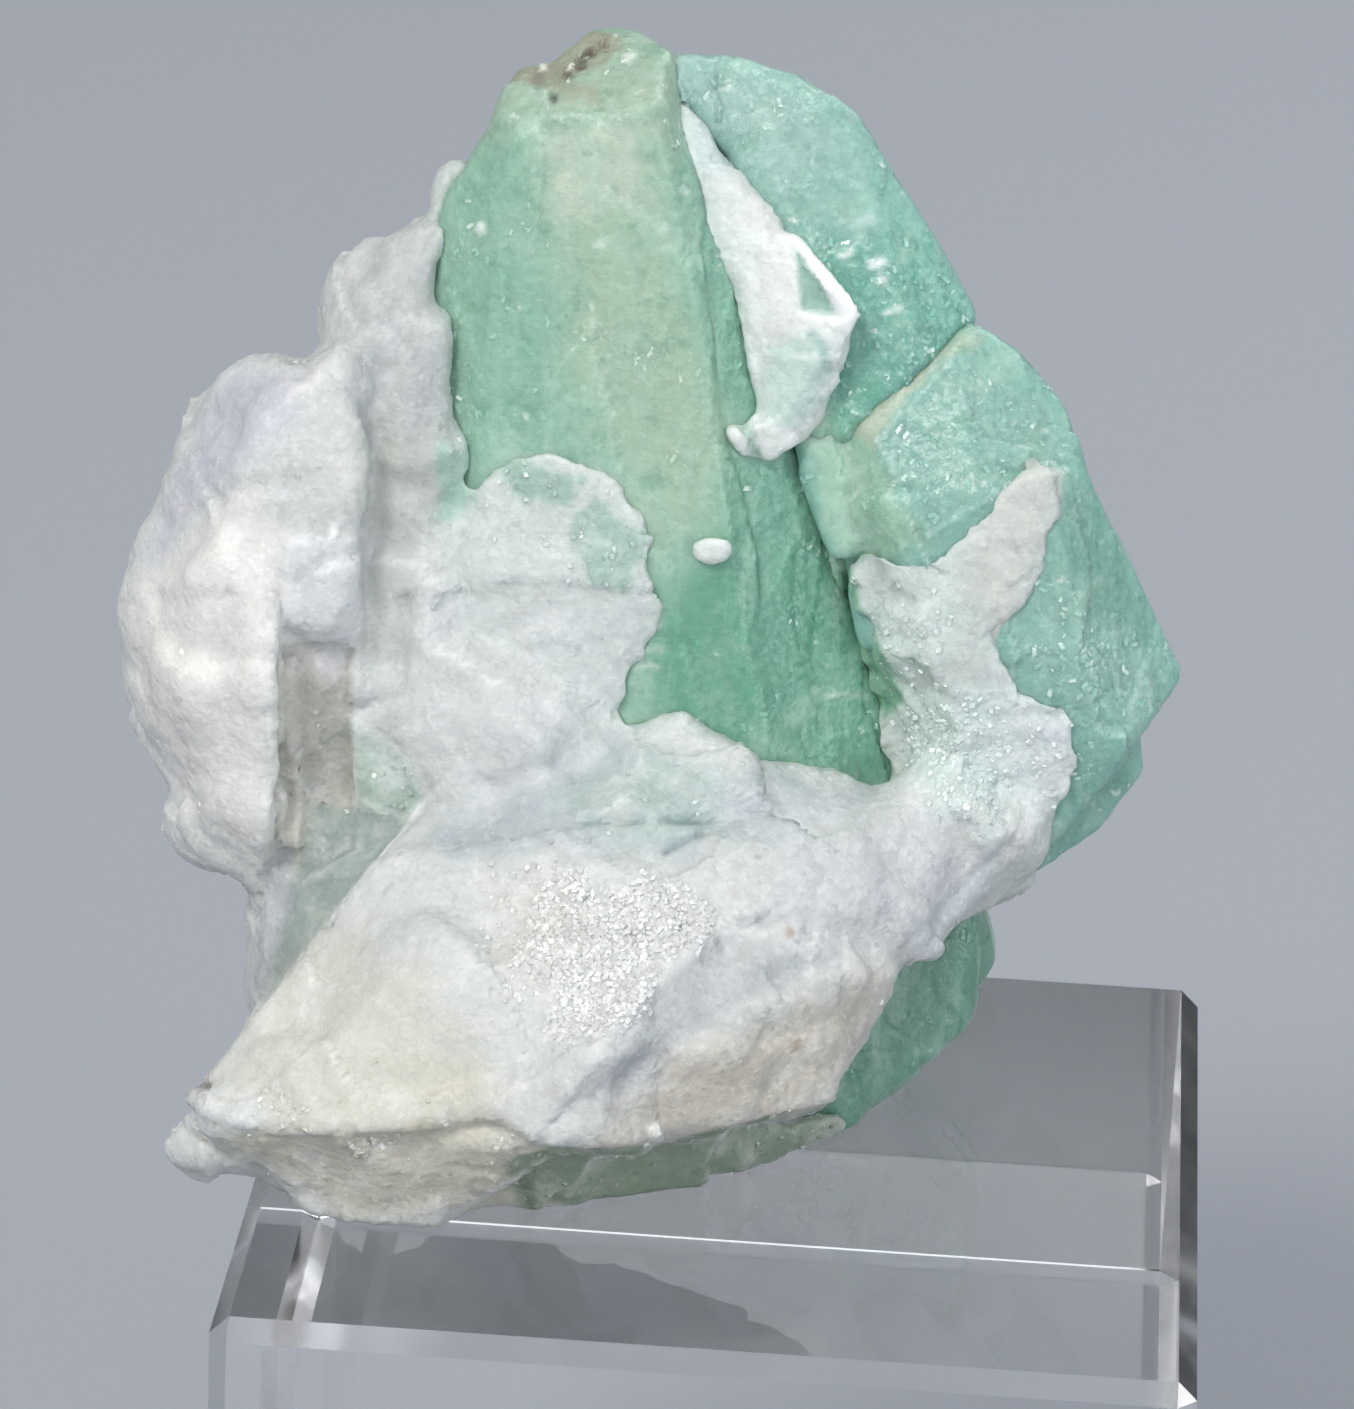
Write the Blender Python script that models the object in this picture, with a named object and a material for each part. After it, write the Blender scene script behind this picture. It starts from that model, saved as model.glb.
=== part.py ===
"""An emerald specimen that rests on a clear display block.

Three pale green beryl crystals stand in a lump of white calcite and quartz, with a sliver of the same
rock caught between two of them. The whole rough lies loose on the top of a chamfered acrylic cube.
Lengths in this file are millimetres until a mesh is made. +Z is up, +X runs to the right of the
specimen's good face, and the good face looks along -Y. The origin is the middle of the block's underside.
"""

import math
from dataclasses import dataclass

import bmesh
import bpy
from mathutils import Matrix, Vector, noise

MM = 0.001

# The display block: a cut and polished cube with every edge broken.
BLOCK_SIDE = 31.75
BLOCK_CHAMFER = 0.63

# Clear space kept between pieces that touch.
CONTACT_GAP = 0.3

# The eye that the specimen's faces are drawn for. A drawn point is (across, up, depth): across and up
# are measured on a sheet this far from the eye, and depth is the point's own Y.
EYE = Vector((9.15, -206.92, 131.16))
EYE_TURN = math.radians(3.24)
EYE_DOWN = math.radians(21.93)
EYE_ROLL = math.radians(2.46)
SHEET_DISTANCE = 230.0

# Half the side of the blank that crystals and cutters are cut from, and how near a corner snaps to a face.
BLANK_REACH = 60.0
PLANE_SNAP = 0.00001

# Surface of the broken matrix: the grain of its skin, and the share of faces kept when it is made facetted.
MATRIX_GRAIN = 0.42
FACET_SHARE = 0.155

# Broad swellings of the matrix, and how fast their finer waves die away.
SWELL_SIZE = 6.0
SWELL_DEPTH = 0.2
SWELL_FADE = 1.0
SWELL_FINER = 2.0
SWELL_OCTAVES = 3

# Flat cleavage facets of the matrix: their size, how bent their rims are, how far they tilt and step,
# and how much the whole skin is worn back.
FACET_SIZE = 3.6
FACET_WARP = 0.3
FACET_TILT = 0.5
FACET_STEP = 0.14
WEAR = 0.06

# Numbers that set the pattern of the facets and of their wandering rims.
CELL_SPREAD = 7.3
DRIFT_SHIFTS = (0.0, 31.0, 67.0)


@dataclass
class Lump:
    """One convex lump of matrix: a drawn rim, corners that stand in front of it, and a smaller back."""

    name: str
    rim: tuple
    rim_depth: float
    back_depth: float
    back_share: float
    front: tuple = ()


@dataclass
class Crystal:
    """One crystal, the space inside its flat faces. Each face is drawn by three of its points."""

    middle: tuple
    faces: dict


LUMPS = (
    Lump(
        "wall_upper",
        rim=(
            (-18.3, 4.1), (-18.4, 5.1), (-18.1, 6.0), (-16.8, 8.0), (-16.0, 9.7), (-15.6, 11.2),
            (-14.7, 11.5), (-12.0, 11.9),
        ),
        front=(
            (-11.1, 12.2, -0.5), (-14.2, 9.7, -1.6), (-11.1, 9.7, -1), (-15.3, 6.3, -2),
            (-10.9, 5.8, -1.6), (-10.9, 2.5, -1.6), (-13.4, 2.3, -2.2), (-16.3, 3.6, -2),
        ),
        rim_depth=1.5, back_depth=8.5, back_share=0.85,
    ),
    Lump(
        "wall_lower",
        rim=(
            (-18.4, 4.2), (-19.0, 3.5), (-19.1, 2.8), (-18.7, 0.8), (-18.4, -0.5), (-17.8, -1.5),
            (-17.1, -2.3), (-17.0, -3.1),
        ),
        front=(
            (-16.3, 4.9, -1.8), (-13.7, 4.9, -2.4), (-13.7, 1.9, -2.4), (-13.7, -4.9, -1.2),
            (-16.7, 0.2, -1.8), (-15.5, -3.3, -1),
        ),
        rim_depth=1.5, back_depth=8, back_share=0.85,
    ),
    Lump(
        "wall_foot",
        rim=(
            (-17.0, -3.0), (-17.5, -3.7), (-17.4, -4.6), (-17.0, -5.3), (-16.2, -5.6),
            (-14.1, -6.1),
        ),
        front=(
            (-13.7, -6.0, 0), (-13.7, -3.3, -1.2), (-15.8, -2.9, -0.8), (-16.3, -4.3, -0.4),
        ),
        rim_depth=1.5, back_depth=6.5, back_share=0.8,
    ),
    Lump(
        "shoulder",
        rim=(
            (-11.9, 12.3), (-11.9, 14.0), (-11.4, 15.0), (-10.7, 15.3), (-10.0, 15.5), (-9.3, 16.1),
            (-8.8, 16.6), (-8.1, 16.9),
        ),
        front=(
            (-11.1, 12.3, 0.2), (-10.0, 10.1, 0), (-7.9, 12.8, 0.8), (-8.2, 14.5, 1.2),
            (-9.5, 14.5, 0.8), (-7.8, 8.7, 0.6), (-9.5, 8.0, 0.2),
        ),
        rim_depth=2.4, back_depth=10, back_share=1,
    ),
    Lump(
        "shoulder_peak",
        rim=(
            (-8.2, 16.8), (-8.2, 17.7), (-7.9, 18.1), (-7.7, 18.4), (-7.2, 18.6),
        ),
        front=(
            (-7.5, 16.7, 2), (-7.8, 15.5, 1.8), (-6.7, 15.2, 3.5), (-6.4, 17.9, 5),
        ),
        rim_depth=3.2, back_depth=9, back_share=0.95,
    ),
    Lump(
        "inner_wall",
        rim=(
            (-11.7, 11.1), (-7.7, 9.7), (-6.9, 4.9), (-7.1, -1.2), (-11.7, -1.2), (-12.0, 4.9),
        ),
        front=(
            (-9.5, 7.0, 0.2), (-9.1, 2.2, 0.3), (-10.8, 0.2, 0.5),
        ),
        rim_depth=1, back_depth=10, back_share=1,
    ),
    Lump(
        "groove_floor",
        rim=(
            (-14.4, 4.9), (-9.8, 4.9), (-10.0, -5.3), (-12.9, -6.3), (-14.3, -6.2),
        ),
        front=(
            (-13.2, 2.6, -0.9), (-11.1, 2.6, -0.7), (-12.9, 0.2, 0.5), (-11.0, 0.2, 0.5),
            (-11.5, -5.0, 0.8), (-12.9, -5.0, 0.7),
        ),
        rim_depth=1.2, back_depth=8.5, back_share=0.95,
    ),
    Lump(
        "rib",
        rim=(
            (-13.2, 1.9), (-11.8, 1.9), (-11.7, -4.7), (-13.4, -4.7),
        ),
        front=(
            (-12.9, 1.9, -0.7), (-12.3, 1.9, -0.8), (-12.1, -4.6, 0), (-13.0, -4.7, -0.1),
        ),
        rim_depth=1.6, back_depth=3, back_share=1,
    ),
    Lump(
        "cleft_floor",
        rim=(
            (-12.9, -2.6), (-8.4, -2.9), (-8.6, -4.3), (-14.2, -10.5), (-14.4, -9.6), (-14.1, -7.8),
            (-14.2, -6.0),
        ),
        front=(
            (-11.5, -7.0, -0.8), (-9.5, -6.7, -1), (-12.9, -12.2, -3), (-10.2, -10.1, -3),
        ),
        rim_depth=0.6, back_depth=6, back_share=0.9,
    ),
    Lump(
        "jag",
        rim=(
            (-14.1, -6.1), (-14.4, -7.0), (-14.1, -7.7), (-14.5, -9.4), (-14.4, -10.6),
        ),
        front=(
            (-12.9, -10.5, 0), (-12.6, -6.7, 0.8),
        ),
        rim_depth=1.2, back_depth=4.5, back_share=0.9,
    ),
    Lump(
        "brow",
        rim=(
            (-8.6, -4.0, -0.8), (-5.4, -2.9, -0.6), (-2.2, -1.4, 0.2), (-1.3, -1.0, 0.4),
            (-0.0, -0.2, 0.6), (0.7, -1.0, 0.3), (1.8, -2.3, 0.3), (5.3, -2.5, 0.4),
            (7.9, -3.2, 0.6), (9.6, -4.1, 1), (10.8, -4.7, 1.6), (10.8, -5.6, 1.4),
            (10.2, -6.7, 0.2), (9.0, -8.8, -1.4), (7.5, -8.9, -2.6),
        ),
        front=(
            (-7.8, -5.0, -3.5), (0.8, -3.3, -2.4), (6.3, -4.3, -2.2), (-4.0, -5.7, -5.2),
            (1.5, -6.0, -5), (6.3, -6.7, -3.8), (-2.6, -8.1, -6.4), (2.8, -7.7, -5.4),
        ),
        rim_depth=0.5, back_depth=6.5, back_share=0.9,
    ),
    Lump(
        "flank",
        rim=(
            (-8.6, -4.0, -1), (-9.7, -4.8, -2.2), (-11.5, -6.9, -4), (-14.4, -10.6, -6),
            (-15.9, -12.5, -7.2), (-16.3, -13.7, -7.8), (-16.2, -14.6, -8.2), (-14.4, -14.9, -9.2),
            (-10.9, -14.8, -10.2), (-6.3, -14.0, -10),
        ),
        front=(
            (-2.6, -7.8, -6.6), (-4.0, -10.1, -8.2), (-7.8, -5.7, -4.2), (-8.8, -8.7, -7.6),
            (-11.9, -11.5, -8.6), (-1.9, -12.2, -8.6),
        ),
        rim_depth=-6, back_depth=2, back_share=0.6,
    ),
    Lump(
        "belly",
        rim=(
            (-2.6, -8.1, -6), (1.4, -7.4, -5.6), (3.9, -7.7, -5.2), (7.5, -8.9, -3.2),
            (7.2, -9.9, -3), (6.4, -11.4, -3.4), (5.7, -12.5, -4), (5.0, -13.6, -4.6),
            (4.0, -14.1, -5.2), (2.7, -14.1, -6.2), (0.6, -14.7, -7.2), (-1.6, -15.0, -8.2),
            (-3.5, -15.2, -9), (-4.7, -15.0, -9.6), (-6.3, -14.0, -9.8),
        ),
        front=(
            (-1.3, -11.5, -9.4), (1.5, -10.5, -7.8), (4.2, -10.1, -6.2), (-4.0, -12.2, -9.2),
        ),
        rim_depth=-5, back_depth=1, back_share=0.7,
    ),
    Lump(
        "heel",
        rim=(
            (-14.4, -15.8, -6.8), (-13.6, -15.9, -6.8), (-12.8, -16.4, -7), (-12.2, -17.1, -7.2),
            (-11.2, -17.3, -7.4), (-10.2, -17.6, -7.5), (-9.2, -17.6, -7.4), (-7.3, -17.1, -6.8),
            (-4.6, -16.8, -5.6), (-3.1, -16.9, -5), (-2.6, -15.6, -6),
        ),
        front=(
            (-16.2, -14.6, -7.6), (-14.4, -14.9, -8.8), (-10.9, -14.8, -9.8), (-8.8, -14.7, -9.8),
            (-6.3, -14.1, -9.6), (-4.5, -15.1, -9.2),
        ),
        rim_depth=-7, back_depth=1, back_share=0.7,
    ),
    Lump(
        "tip",
        rim=(
            (-17.2, -14.7), (-17.3, -15.3), (-17.1, -15.9), (-16.2, -16.0), (-14.4, -15.8),
        ),
        front=(
            (-16.5, -13.7, -7), (-15.9, -12.5, -7), (-14.3, -14.2, -8.4), (-14.4, -14.9, -8.2),
        ),
        rim_depth=-6.2, back_depth=-3, back_share=0.8,
    ),
    Lump(
        "seat",
        rim=(
            (-7.3, -16.9, -6.4), (-3.1, -16.9, -4.6), (-1.3, -16.6, -3.6), (1.1, -16.3, -2.8),
            (3.0, -15.4, -1.4), (2.2, -14.6, -3), (-2.6, -15.2, -6), (-6.1, -15.2, -7),
        ),
        rim_depth=-5, back_depth=6, back_share=0.9,
    ),
    Lump(
        "crust_upper",
        rim=(
            (-6.8, 6.6), (-6.8, 7.4), (-6.5, 7.9), (-5.7, 8.5), (-4.2, 8.6), (-2.9, 8.4),
            (-2.2, 7.8), (-1.7, 7.1), (-1.2, 6.3), (-0.7, 5.9), (-0.4, 5.2), (-0.4, 4.7),
            (-0.7, 4.3), (-1.3, 3.6), (-7.1, 4.9),
        ),
        front=(
            (-6.1, 7.3, 0), (-4.3, 7.7, -0.1), (-2.6, 6.8, -0.1), (-1.3, 5.3, 0), (-6.1, 4.9, -0.6),
            (-2.6, 4.3, -0.6),
        ),
        rim_depth=0.6, back_depth=4, back_share=0.9,
    ),
    Lump(
        "crust_middle",
        rim=(
            (-7.5, 6.0), (-8.4, 5.9), (-8.9, 5.3), (-9.2, 4.7), (-9.4, 3.9), (-9.2, 3.1),
            (-9.3, 2.2), (-1.8, 1.4), (-1.1, 2.3), (-0.3, 3.4), (-0.9, 3.9),
        ),
        front=(
            (-8.4, 4.9, -0.2), (-6.1, 5.5, -0.6), (-1.6, 3.6, -0.4), (-2.6, 1.9, -0.6),
            (-8.8, 2.2, -0.4), (-5.4, 2.2, -1.2), (-6.1, 0.2, -1.2),
        ),
        rim_depth=0.4, back_depth=4, back_share=0.9,
    ),
    Lump(
        "crust_lower",
        rim=(
            (-9.3, 2.3), (-10.0, 1.0), (-10.7, -0.4), (-10.1, -1.0), (-9.0, -2.2), (-8.7, -3.1),
            (-8.4, -4.1), (-5.4, -2.9), (-2.6, -1.6), (-1.9, -1.2), (-2.0, 0.5), (-1.8, 1.4),
        ),
        front=(
            (-9.5, 0.2, -0.6), (-8.1, -2.2, -1), (-6.1, 0.2, -1.6), (-3.3, 0.2, -1.2),
            (-4.0, -1.6, -1.4), (-6.7, -2.6, -1.6), (-8.4, 2.2, -0.4),
        ),
        rim_depth=0.2, back_depth=5, back_share=0.9,
    ),
    Lump(
        "nodule",
        rim=(
            (-11.1, -0.6), (-11.1, -1.6), (-11.0, -2.7), (-10.6, -3.5), (-9.3, -4.0), (-8.7, -3.2),
            (-9.0, -2.2), (-10.1, -1.0),
        ),
        front=(
            (-10.3, -2.2, -0.5), (-9.8, -3.3, -0.5),
        ),
        rim_depth=0.4, back_depth=5, back_share=0.8,
    ),
    Lump(
        "seam",
        rim=(
            (4.9, 8.8), (5.8, 8.8), (6.3, 5.1), (6.7, 3.2), (7.4, -0.1), (8.7, -3.6), (7.3, -3.3),
            (6.3, 1.5), (5.2, 5.6),
        ),
        rim_depth=3.2, back_depth=9.5, back_share=1,
    ),
    Lump(
        "side_crust_arm",
        rim=(
            (12.7, 8.3), (11.8, 8.0), (10.8, 7.1), (10.1, 6.4), (10.1, 5.8), (9.2, 4.9),
            (11.4, 2.1), (11.8, 3.4), (12.1, 4.3), (12.6, 5.4), (12.6, 6.1), (13.4, 7.0),
            (13.3, 7.5),
        ),
        front=(
            (12.4, 7.5, 0.5), (11.0, 5.6, 0.1), (9.7, 3.6, 0), (11.0, 3.6, 0.2), (12.1, 6.3, 0.5),
        ),
        rim_depth=1, back_depth=5, back_share=0.9,
    ),
    Lump(
        "side_crust_upper",
        rim=(
            (5.9, 4.9), (6.5, 3.6), (8.1, 3.7), (9.2, 4.9), (10.1, 4.9), (11.4, 2.1), (10.9, 1.1),
            (7.1, -0.1), (6.7, 2.0), (6.3, 2.7),
        ),
        front=(
            (6.5, 2.9, 1.4), (6.0, 4.8, 2.2), (7.1, 0.2, 1.6), (7.6, 2.9, 0), (9.7, 3.6, 0),
            (10.4, 1.9, 0.1), (8.3, 0.5, -0.1),
        ),
        rim_depth=0.6, back_depth=6, back_share=0.9,
    ),
    Lump(
        "side_crust_lower",
        rim=(
            (7.1, 0.2, 1.4), (7.7, -1.7, 1.6), (8.0, -2.5, 1.4), (8.5, -3.6, 0.2), (9.3, -5.0, 0.2),
            (10.5, -5.0, 0.4), (11.8, -4.5), (12.6, -4.4), (12.8, -3.6), (13.6, -2.9), (13.9, -1.3),
            (13.8, -0.5), (12.9, -0.3), (11.5, 0.7), (10.9, 1.1),
        ),
        front=(
            (9.0, -0.5, -0.6), (11.0, -0.5, -0.2), (9.7, -2.9, -0.6), (11.7, -2.9, 0),
            (12.8, -1.6, 0.8),
        ),
        rim_depth=0.7, back_depth=6, back_share=0.9,
    ),
    Lump(
        "ledge",
        rim=(
            (9.6, -4.1), (12.7, -4.4), (12.6, -5.0), (11.8, -5.9), (10.9, -6.5), (10.5, -7.1),
            (10.2, -6.7),
        ),
        front=(
            (10.7, -4.6, -0.2), (11.4, -5.0, 0.6),
        ),
        rim_depth=2, back_depth=7, back_share=0.85,
    ),
    Lump(
        "back_wall",
        rim=(
            (-12.9, 9.7), (-6.7, 12.8), (0.8, 9.7), (6.3, 2.2), (6.3, -3.3), (-12.9, -3.3),
        ),
        rim_depth=8, back_depth=13.4, back_share=0.7,
    ),
    Lump(
        "back_base",
        rim=(
            (-11.9, -2.6), (-4.0, 0.2), (4.2, -1.9), (7.6, -6.7), (2.8, -12.2), (-6.7, -13.5),
            (-10.8, -10.1),
        ),
        rim_depth=6, back_depth=12.5, back_share=0.7,
    ),
)
SLIVER_LUMPS = (
    Lump(
        "sliver_upper",
        rim=(
            (0.2, 20.5), (0.8, 20.2), (1.3, 19.5), (1.9, 19.3), (2.1, 18.6), (2.8, 17.8),
            (3.0, 16.8), (3.4, 16.0), (4.2, 15.5), (4.2, 13.5), (2.2, 13.8), (1.2, 16.0),
            (0.4, 18.0), (0.2, 19.5),
        ),
        front=(
            (2.6, 13.8, 2.2), (1.5, 16.2, 2.3), (0.8, 18.3, 2.5), (3.2, 15.5, 2.5),
        ),
        rim_depth=3, back_depth=10, back_share=0.95,
    ),
    Lump(
        "sliver_lower",
        rim=(
            (3.4, 16.0), (4.2, 13.6), (5.6, 13.2), (6.3, 13.2), (6.0, 12.1), (5.6, 11.3),
            (5.3, 10.5), (4.8, 9.7), (4.7, 9.2), (4.2, 9.1), (3.7, 8.8), (3.2, 8.3), (2.8, 8.4),
            (2.3, 9.8), (3.1, 10.6), (2.8, 11.9), (2.1, 13.7),
        ),
        front=(
            (3.5, 12.8, 1.2), (4.9, 12.1, 1.1), (3.5, 9.4, 1),
        ),
        rim_depth=1.9, back_depth=9, back_share=0.9,
    ),
    Lump(
        "blade",
        rim=(
            (4.0, 16.0), (4.5, 15.6), (5.6, 14.3), (6.3, 13.2), (6.0, 12.1), (5.5, 13.1),
        ),
        front=(
            (4.7, 15.1, 1.2), (5.8, 13.2, 1),
        ),
        rim_depth=1.9, back_depth=4, back_share=0.9,
    ),
    Lump(
        "tooth",
        rim=(
            (1.6, 9.5), (2.2, 9.5), (2.6, 8.7), (2.4, 8.4), (1.8, 8.9),
        ),
        front=(
            (2.2, 9.0, 0.4),
        ),
        rim_depth=0.7, back_depth=3.5, back_share=1,
    ),
)

MAIN_SHAFT = Crystal(
    middle=(-1.3, 7.0, 6),
    faces={
        "front": ((-6.1, 17.3, 1.6), (0.8, 7.0, 1), (-6.1, 2.2, 1)),
        "right_front": ((-0.7, 19.6, 1.6), (1.7, 5.9, 1), (5.2, 6.0, 3.4)),
        "right": ((0.2, 19.5, 2.6), (7.9, -2.5, 4.6), (1.8, 19.5, 8)),
        "left_front": ((-5.9, 19.0, 1.7), (-6.2, 8.0, 1.1), (-8.3, 13.8, 2.8)),
        "left": ((-7.2, 18.6, 3.4), (-8.3, 14.4, 3), (-6.4, 13.8, 8)),
        "left_low": ((-8.3, 14.5, 3), (-7.8, 7.7, 2.6), (-6.1, 7.7, 8)),
        "back_left": ((-7.1, 17.3, 8.5), (-6.7, 7.0, 8), (-4.0, 12.1, 11.5)),
        "back": ((-4.0, 13.8, 12), (0.8, 13.8, 12), (0.8, 0.2, 11)),
        "back_right": ((1.1, 17.3, 9), (6.6, 0.2, 9), (2.8, 10.4, 11.8)),
        "roof_front": ((-6.1, 20.3, 2.2), (-1.3, 20.7, 2.2), (-2.6, 22.4, 4.6)),
        "roof_left": ((-6.7, 20.0, 3), (-5.3, 21.7, 4.2), (-5.0, 21.0, 9)),
        "roof_slope": ((-5.3, 21.7, 4.2), (-3.0, 22.8, 5), (-3.0, 22.0, 10)),
        "roof_top": ((-3.0, 22.8, 5), (-1.5, 22.9, 5), (-2.2, 22.6, 10)),
        "roof_right": ((-1.5, 22.9, 5), (-0.2, 22.1, 4.6), (0.4, 21.4, 10)),
        "foot_right": ((9.7, -10.5, 4), (8.0, -12.6, 1.4), (9.0, -9.4, 10)),
        "foot": ((8.0, -12.6, 1.4), (5.8, -14.6, 0.6), (6.3, -11.5, 10)),
        "foot_left": ((5.8, -14.6, 0.6), (0.8, -16.4, 0), (2.8, -12.2, 10)),
    },
)
MAIN_SPUR = Crystal(
    middle=(9.0, -8.4, 6),
    faces={
        "front": ((7.6, -6.7, 3.4), (9.0, -10.1, 2.6), (9.7, -6.7, 3.8)),
        "right_front": ((9.9, -6.7, 4), (10.1, -10.1, 3.2), (10.6, -8.1, 5)),
        "right": ((10.2, -7.2, 5), (10.8, -9.0, 5), (10.7, -8.1, 9)),
        "low_right": ((10.8, -8.9, 5), (10.1, -10.4, 4.6), (10.0, -9.4, 9)),
        "low": ((10.1, -10.3, 4.4), (8.8, -11.5, 3.2), (8.7, -10.1, 9)),
        "left": ((6.3, -6.7, 4), (6.3, -10.1, 4), (6.6, -8.4, 9)),
        "top": ((6.3, -5.0, 4), (10.0, -5.0, 4), (7.6, -5.0, 9)),
        "back": ((6.3, -6.7, 9.4), (9.7, -6.7, 9.4), (7.6, -10.1, 8.8)),
    },
)
UPPER = Crystal(
    middle=(5.6, 15.5, 7),
    faces={
        "upper_front": ((0.9, 21.7, 5.4), (3.4, 16.0, 4), (5.6, 20.0, 5)),
        "front": ((3.4, 16.0, 4), (5.9, 19.7, 4.9), (7.6, 12.8, 3.4)),
        "right_front": ((6.3, 18.3, 4.8), (8.7, 12.5, 3.7), (9.2, 14.7, 5.2)),
        "right": ((6.3, 19.6, 5.6), (8.1, 16.5, 5.6), (7.9, 16.4, 10)),
        "right_low": ((8.0, 16.6, 5.6), (10.3, 12.8, 5.6), (9.3, 13.2, 10)),
        "top_right": ((3.9, 21.4, 5.6), (6.2, 19.8, 5.6), (5.6, 19.7, 10)),
        "top": ((1.7, 22.0, 5.6), (3.9, 21.3, 5.6), (3.5, 21.0, 10)),
        "top_left": ((-0.0, 22.0, 5), (1.7, 22.0, 5.6), (1.5, 21.4, 10)),
        "left": ((-0.2, 22.0, 4.6), (4.3, 12.8, 4), (2.6, 19.5, 10)),
        "back_left": ((3.9, 19.0, 9.5), (6.6, 10.4, 9), (4.9, 19.0, 12)),
        "back": ((2.8, 19.0, 13), (6.9, 19.0, 12), (6.9, 10.4, 12)),
        "back_right": ((7.6, 17.3, 9.5), (10.4, 11.1, 8.5), (6.9, 13.8, 12)),
        "bottom": ((5.7, 9.1, 3.4), (10.2, 12.8, 3.4), (7.6, 10.4, 9)),
    },
)
SIDE_HEAD = Crystal(
    middle=(10.0, 8.7, 6),
    faces={
        "diamond": ((6.8, 9.0, 2.4), (9.4, 11.7, 3.4), (9.7, 7.7, 1.6)),
        "diamond_right": ((9.5, 11.7, 3.4), (13.6, 8.8, 3.4), (11.0, 7.0, 1.5)),
        "left": ((5.4, 9.1, 3.3), (6.8, 9.0, 2.4), (8.5, 4.9, 1.1)),
        "ridge": ((5.7, 9.1, 3), (10.2, 12.8, 4), (7.6, 10.9, 5)),
        "top": ((10.2, 12.8, 4.4), (11.6, 11.8, 4.4), (11.0, 11.8, 10)),
        "top_right": ((11.6, 11.8, 4.4), (13.1, 10.0, 4.6), (12.1, 10.8, 10)),
        "shoulder": ((13.1, 10.0, 4.6), (13.9, 7.2, 4.6), (13.1, 9.0, 10)),
        "left_back": ((5.4, 7.7, 3), (7.7, -0.5, 3.8), (8.5, 7.7, 10)),
        "front": ((8.5, 4.9, 1), (13.1, 3.6, 1.5), (11.0, 0.2, 1.1)),
        "right_front": ((13.2, 6.3, 2), (14.9, 0.5, 2.2), (16.7, 2.7, 4.6)),
        "bottom": ((6.3, 2.2, 3), (12.8, 1.5, 3), (9.7, 2.2, 10)),
        "back": ((7.6, 9.7, 11), (13.1, 4.9, 10), (9.7, -1.9, 10)),
    },
)
SIDE_BODY = Crystal(
    middle=(11.4, 2.2, 6),
    faces={
        "front": ((8.5, 4.9, 1.1), (13.1, 3.6, 1.6), (11.0, 0.2, 1.2)),
        "left": ((5.5, 5.1, 3.5), (7.5, -1.7, 4.1), (8.7, 2.9, 1.1)),
        "front_low": ((7.6, -1.2, 1.2), (13.1, -0.5, 1.8), (11.0, -4.6, 2.6)),
        "right_front": ((13.2, 6.3, 2), (14.9, 0.5, 2.2), (16.7, 2.7, 4.6)),
        "top": ((6.3, 7.0, 3), (13.8, 8.0, 4.6), (11.0, 7.7, 10)),
        "right": ((13.9, 7.2, 4.6), (16.4, 2.3, 4.6), (14.8, 4.3, 10)),
        "tip": ((16.2, 2.7, 4.6), (17.0, 1.0, 4.6), (15.5, 2.2, 10)),
        "tip_low": ((17.0, 1.0, 4.6), (15.3, -1.0, 4.4), (14.8, 0.8, 10)),
        "under": ((15.4, -1.1, 3.6), (12.4, -5.0, 3.2), (13.1, -2.6, 10)),
        "bottom": ((12.6, -5.0, 3.2), (6.9, -5.0, 3.2), (9.7, -4.3, 10)),
        "left_back": ((5.4, 7.7, 3), (7.7, -0.5, 3.8), (8.5, 7.7, 10)),
        "back": ((7.6, 9.7, 11), (13.1, 4.9, 10), (9.7, -1.9, 10)),
    },
)
SIDE_HEEL = Crystal(
    middle=(13.4, -2.2, 6),
    faces={
        "front": ((14.8, -1.2, 4.2), (12.8, -4.3, 3.8), (11.4, -2.6, 3.8)),
        "right": ((15.4, -0.5, 5), (15.6, -2.1, 5), (15.2, -1.2, 9)),
        "low_right": ((15.6, -2.0, 5), (14.5, -3.5, 4.8), (14.3, -2.2, 9)),
        "low": ((14.5, -3.6, 4.8), (12.6, -5.0, 4.4), (12.4, -3.6, 9)),
        "left": ((11.0, -1.2, 4), (11.4, -4.6, 4), (11.4, -2.6, 9)),
        "top": ((11.0, 0.2, 4), (15.4, 0.2, 4), (13.1, 0.2, 9)),
        "back": ((11.0, -1.2, 9.2), (14.5, -1.2, 9.2), (12.8, -4.0, 8.8)),
    },
)
CRYSTALS = {
    "emerald_main_crystal": (MAIN_SHAFT, MAIN_SPUR),
    "emerald_side_crystal": (SIDE_BODY, SIDE_HEAD, SIDE_HEEL),
    "emerald_upper_crystal": (UPPER,),
}


def drawn(across, up, depth):
    """The point, in millimetres, that the eye sees at this place on the sheet, at this depth along Y."""
    forward = Vector((
        -math.sin(EYE_TURN) * math.cos(EYE_DOWN),
        math.cos(EYE_TURN) * math.cos(EYE_DOWN),
        -math.sin(EYE_DOWN),
    ))
    level = Vector((math.cos(EYE_TURN), math.sin(EYE_TURN), 0.0))
    roll = Matrix.Rotation(-EYE_ROLL, 3, forward)
    right = roll @ level
    above = roll @ level.cross(forward)
    sight = forward * SHEET_DISTANCE + right * across + above * up
    return EYE + sight * ((depth - EYE.y) / sight.y)


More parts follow.
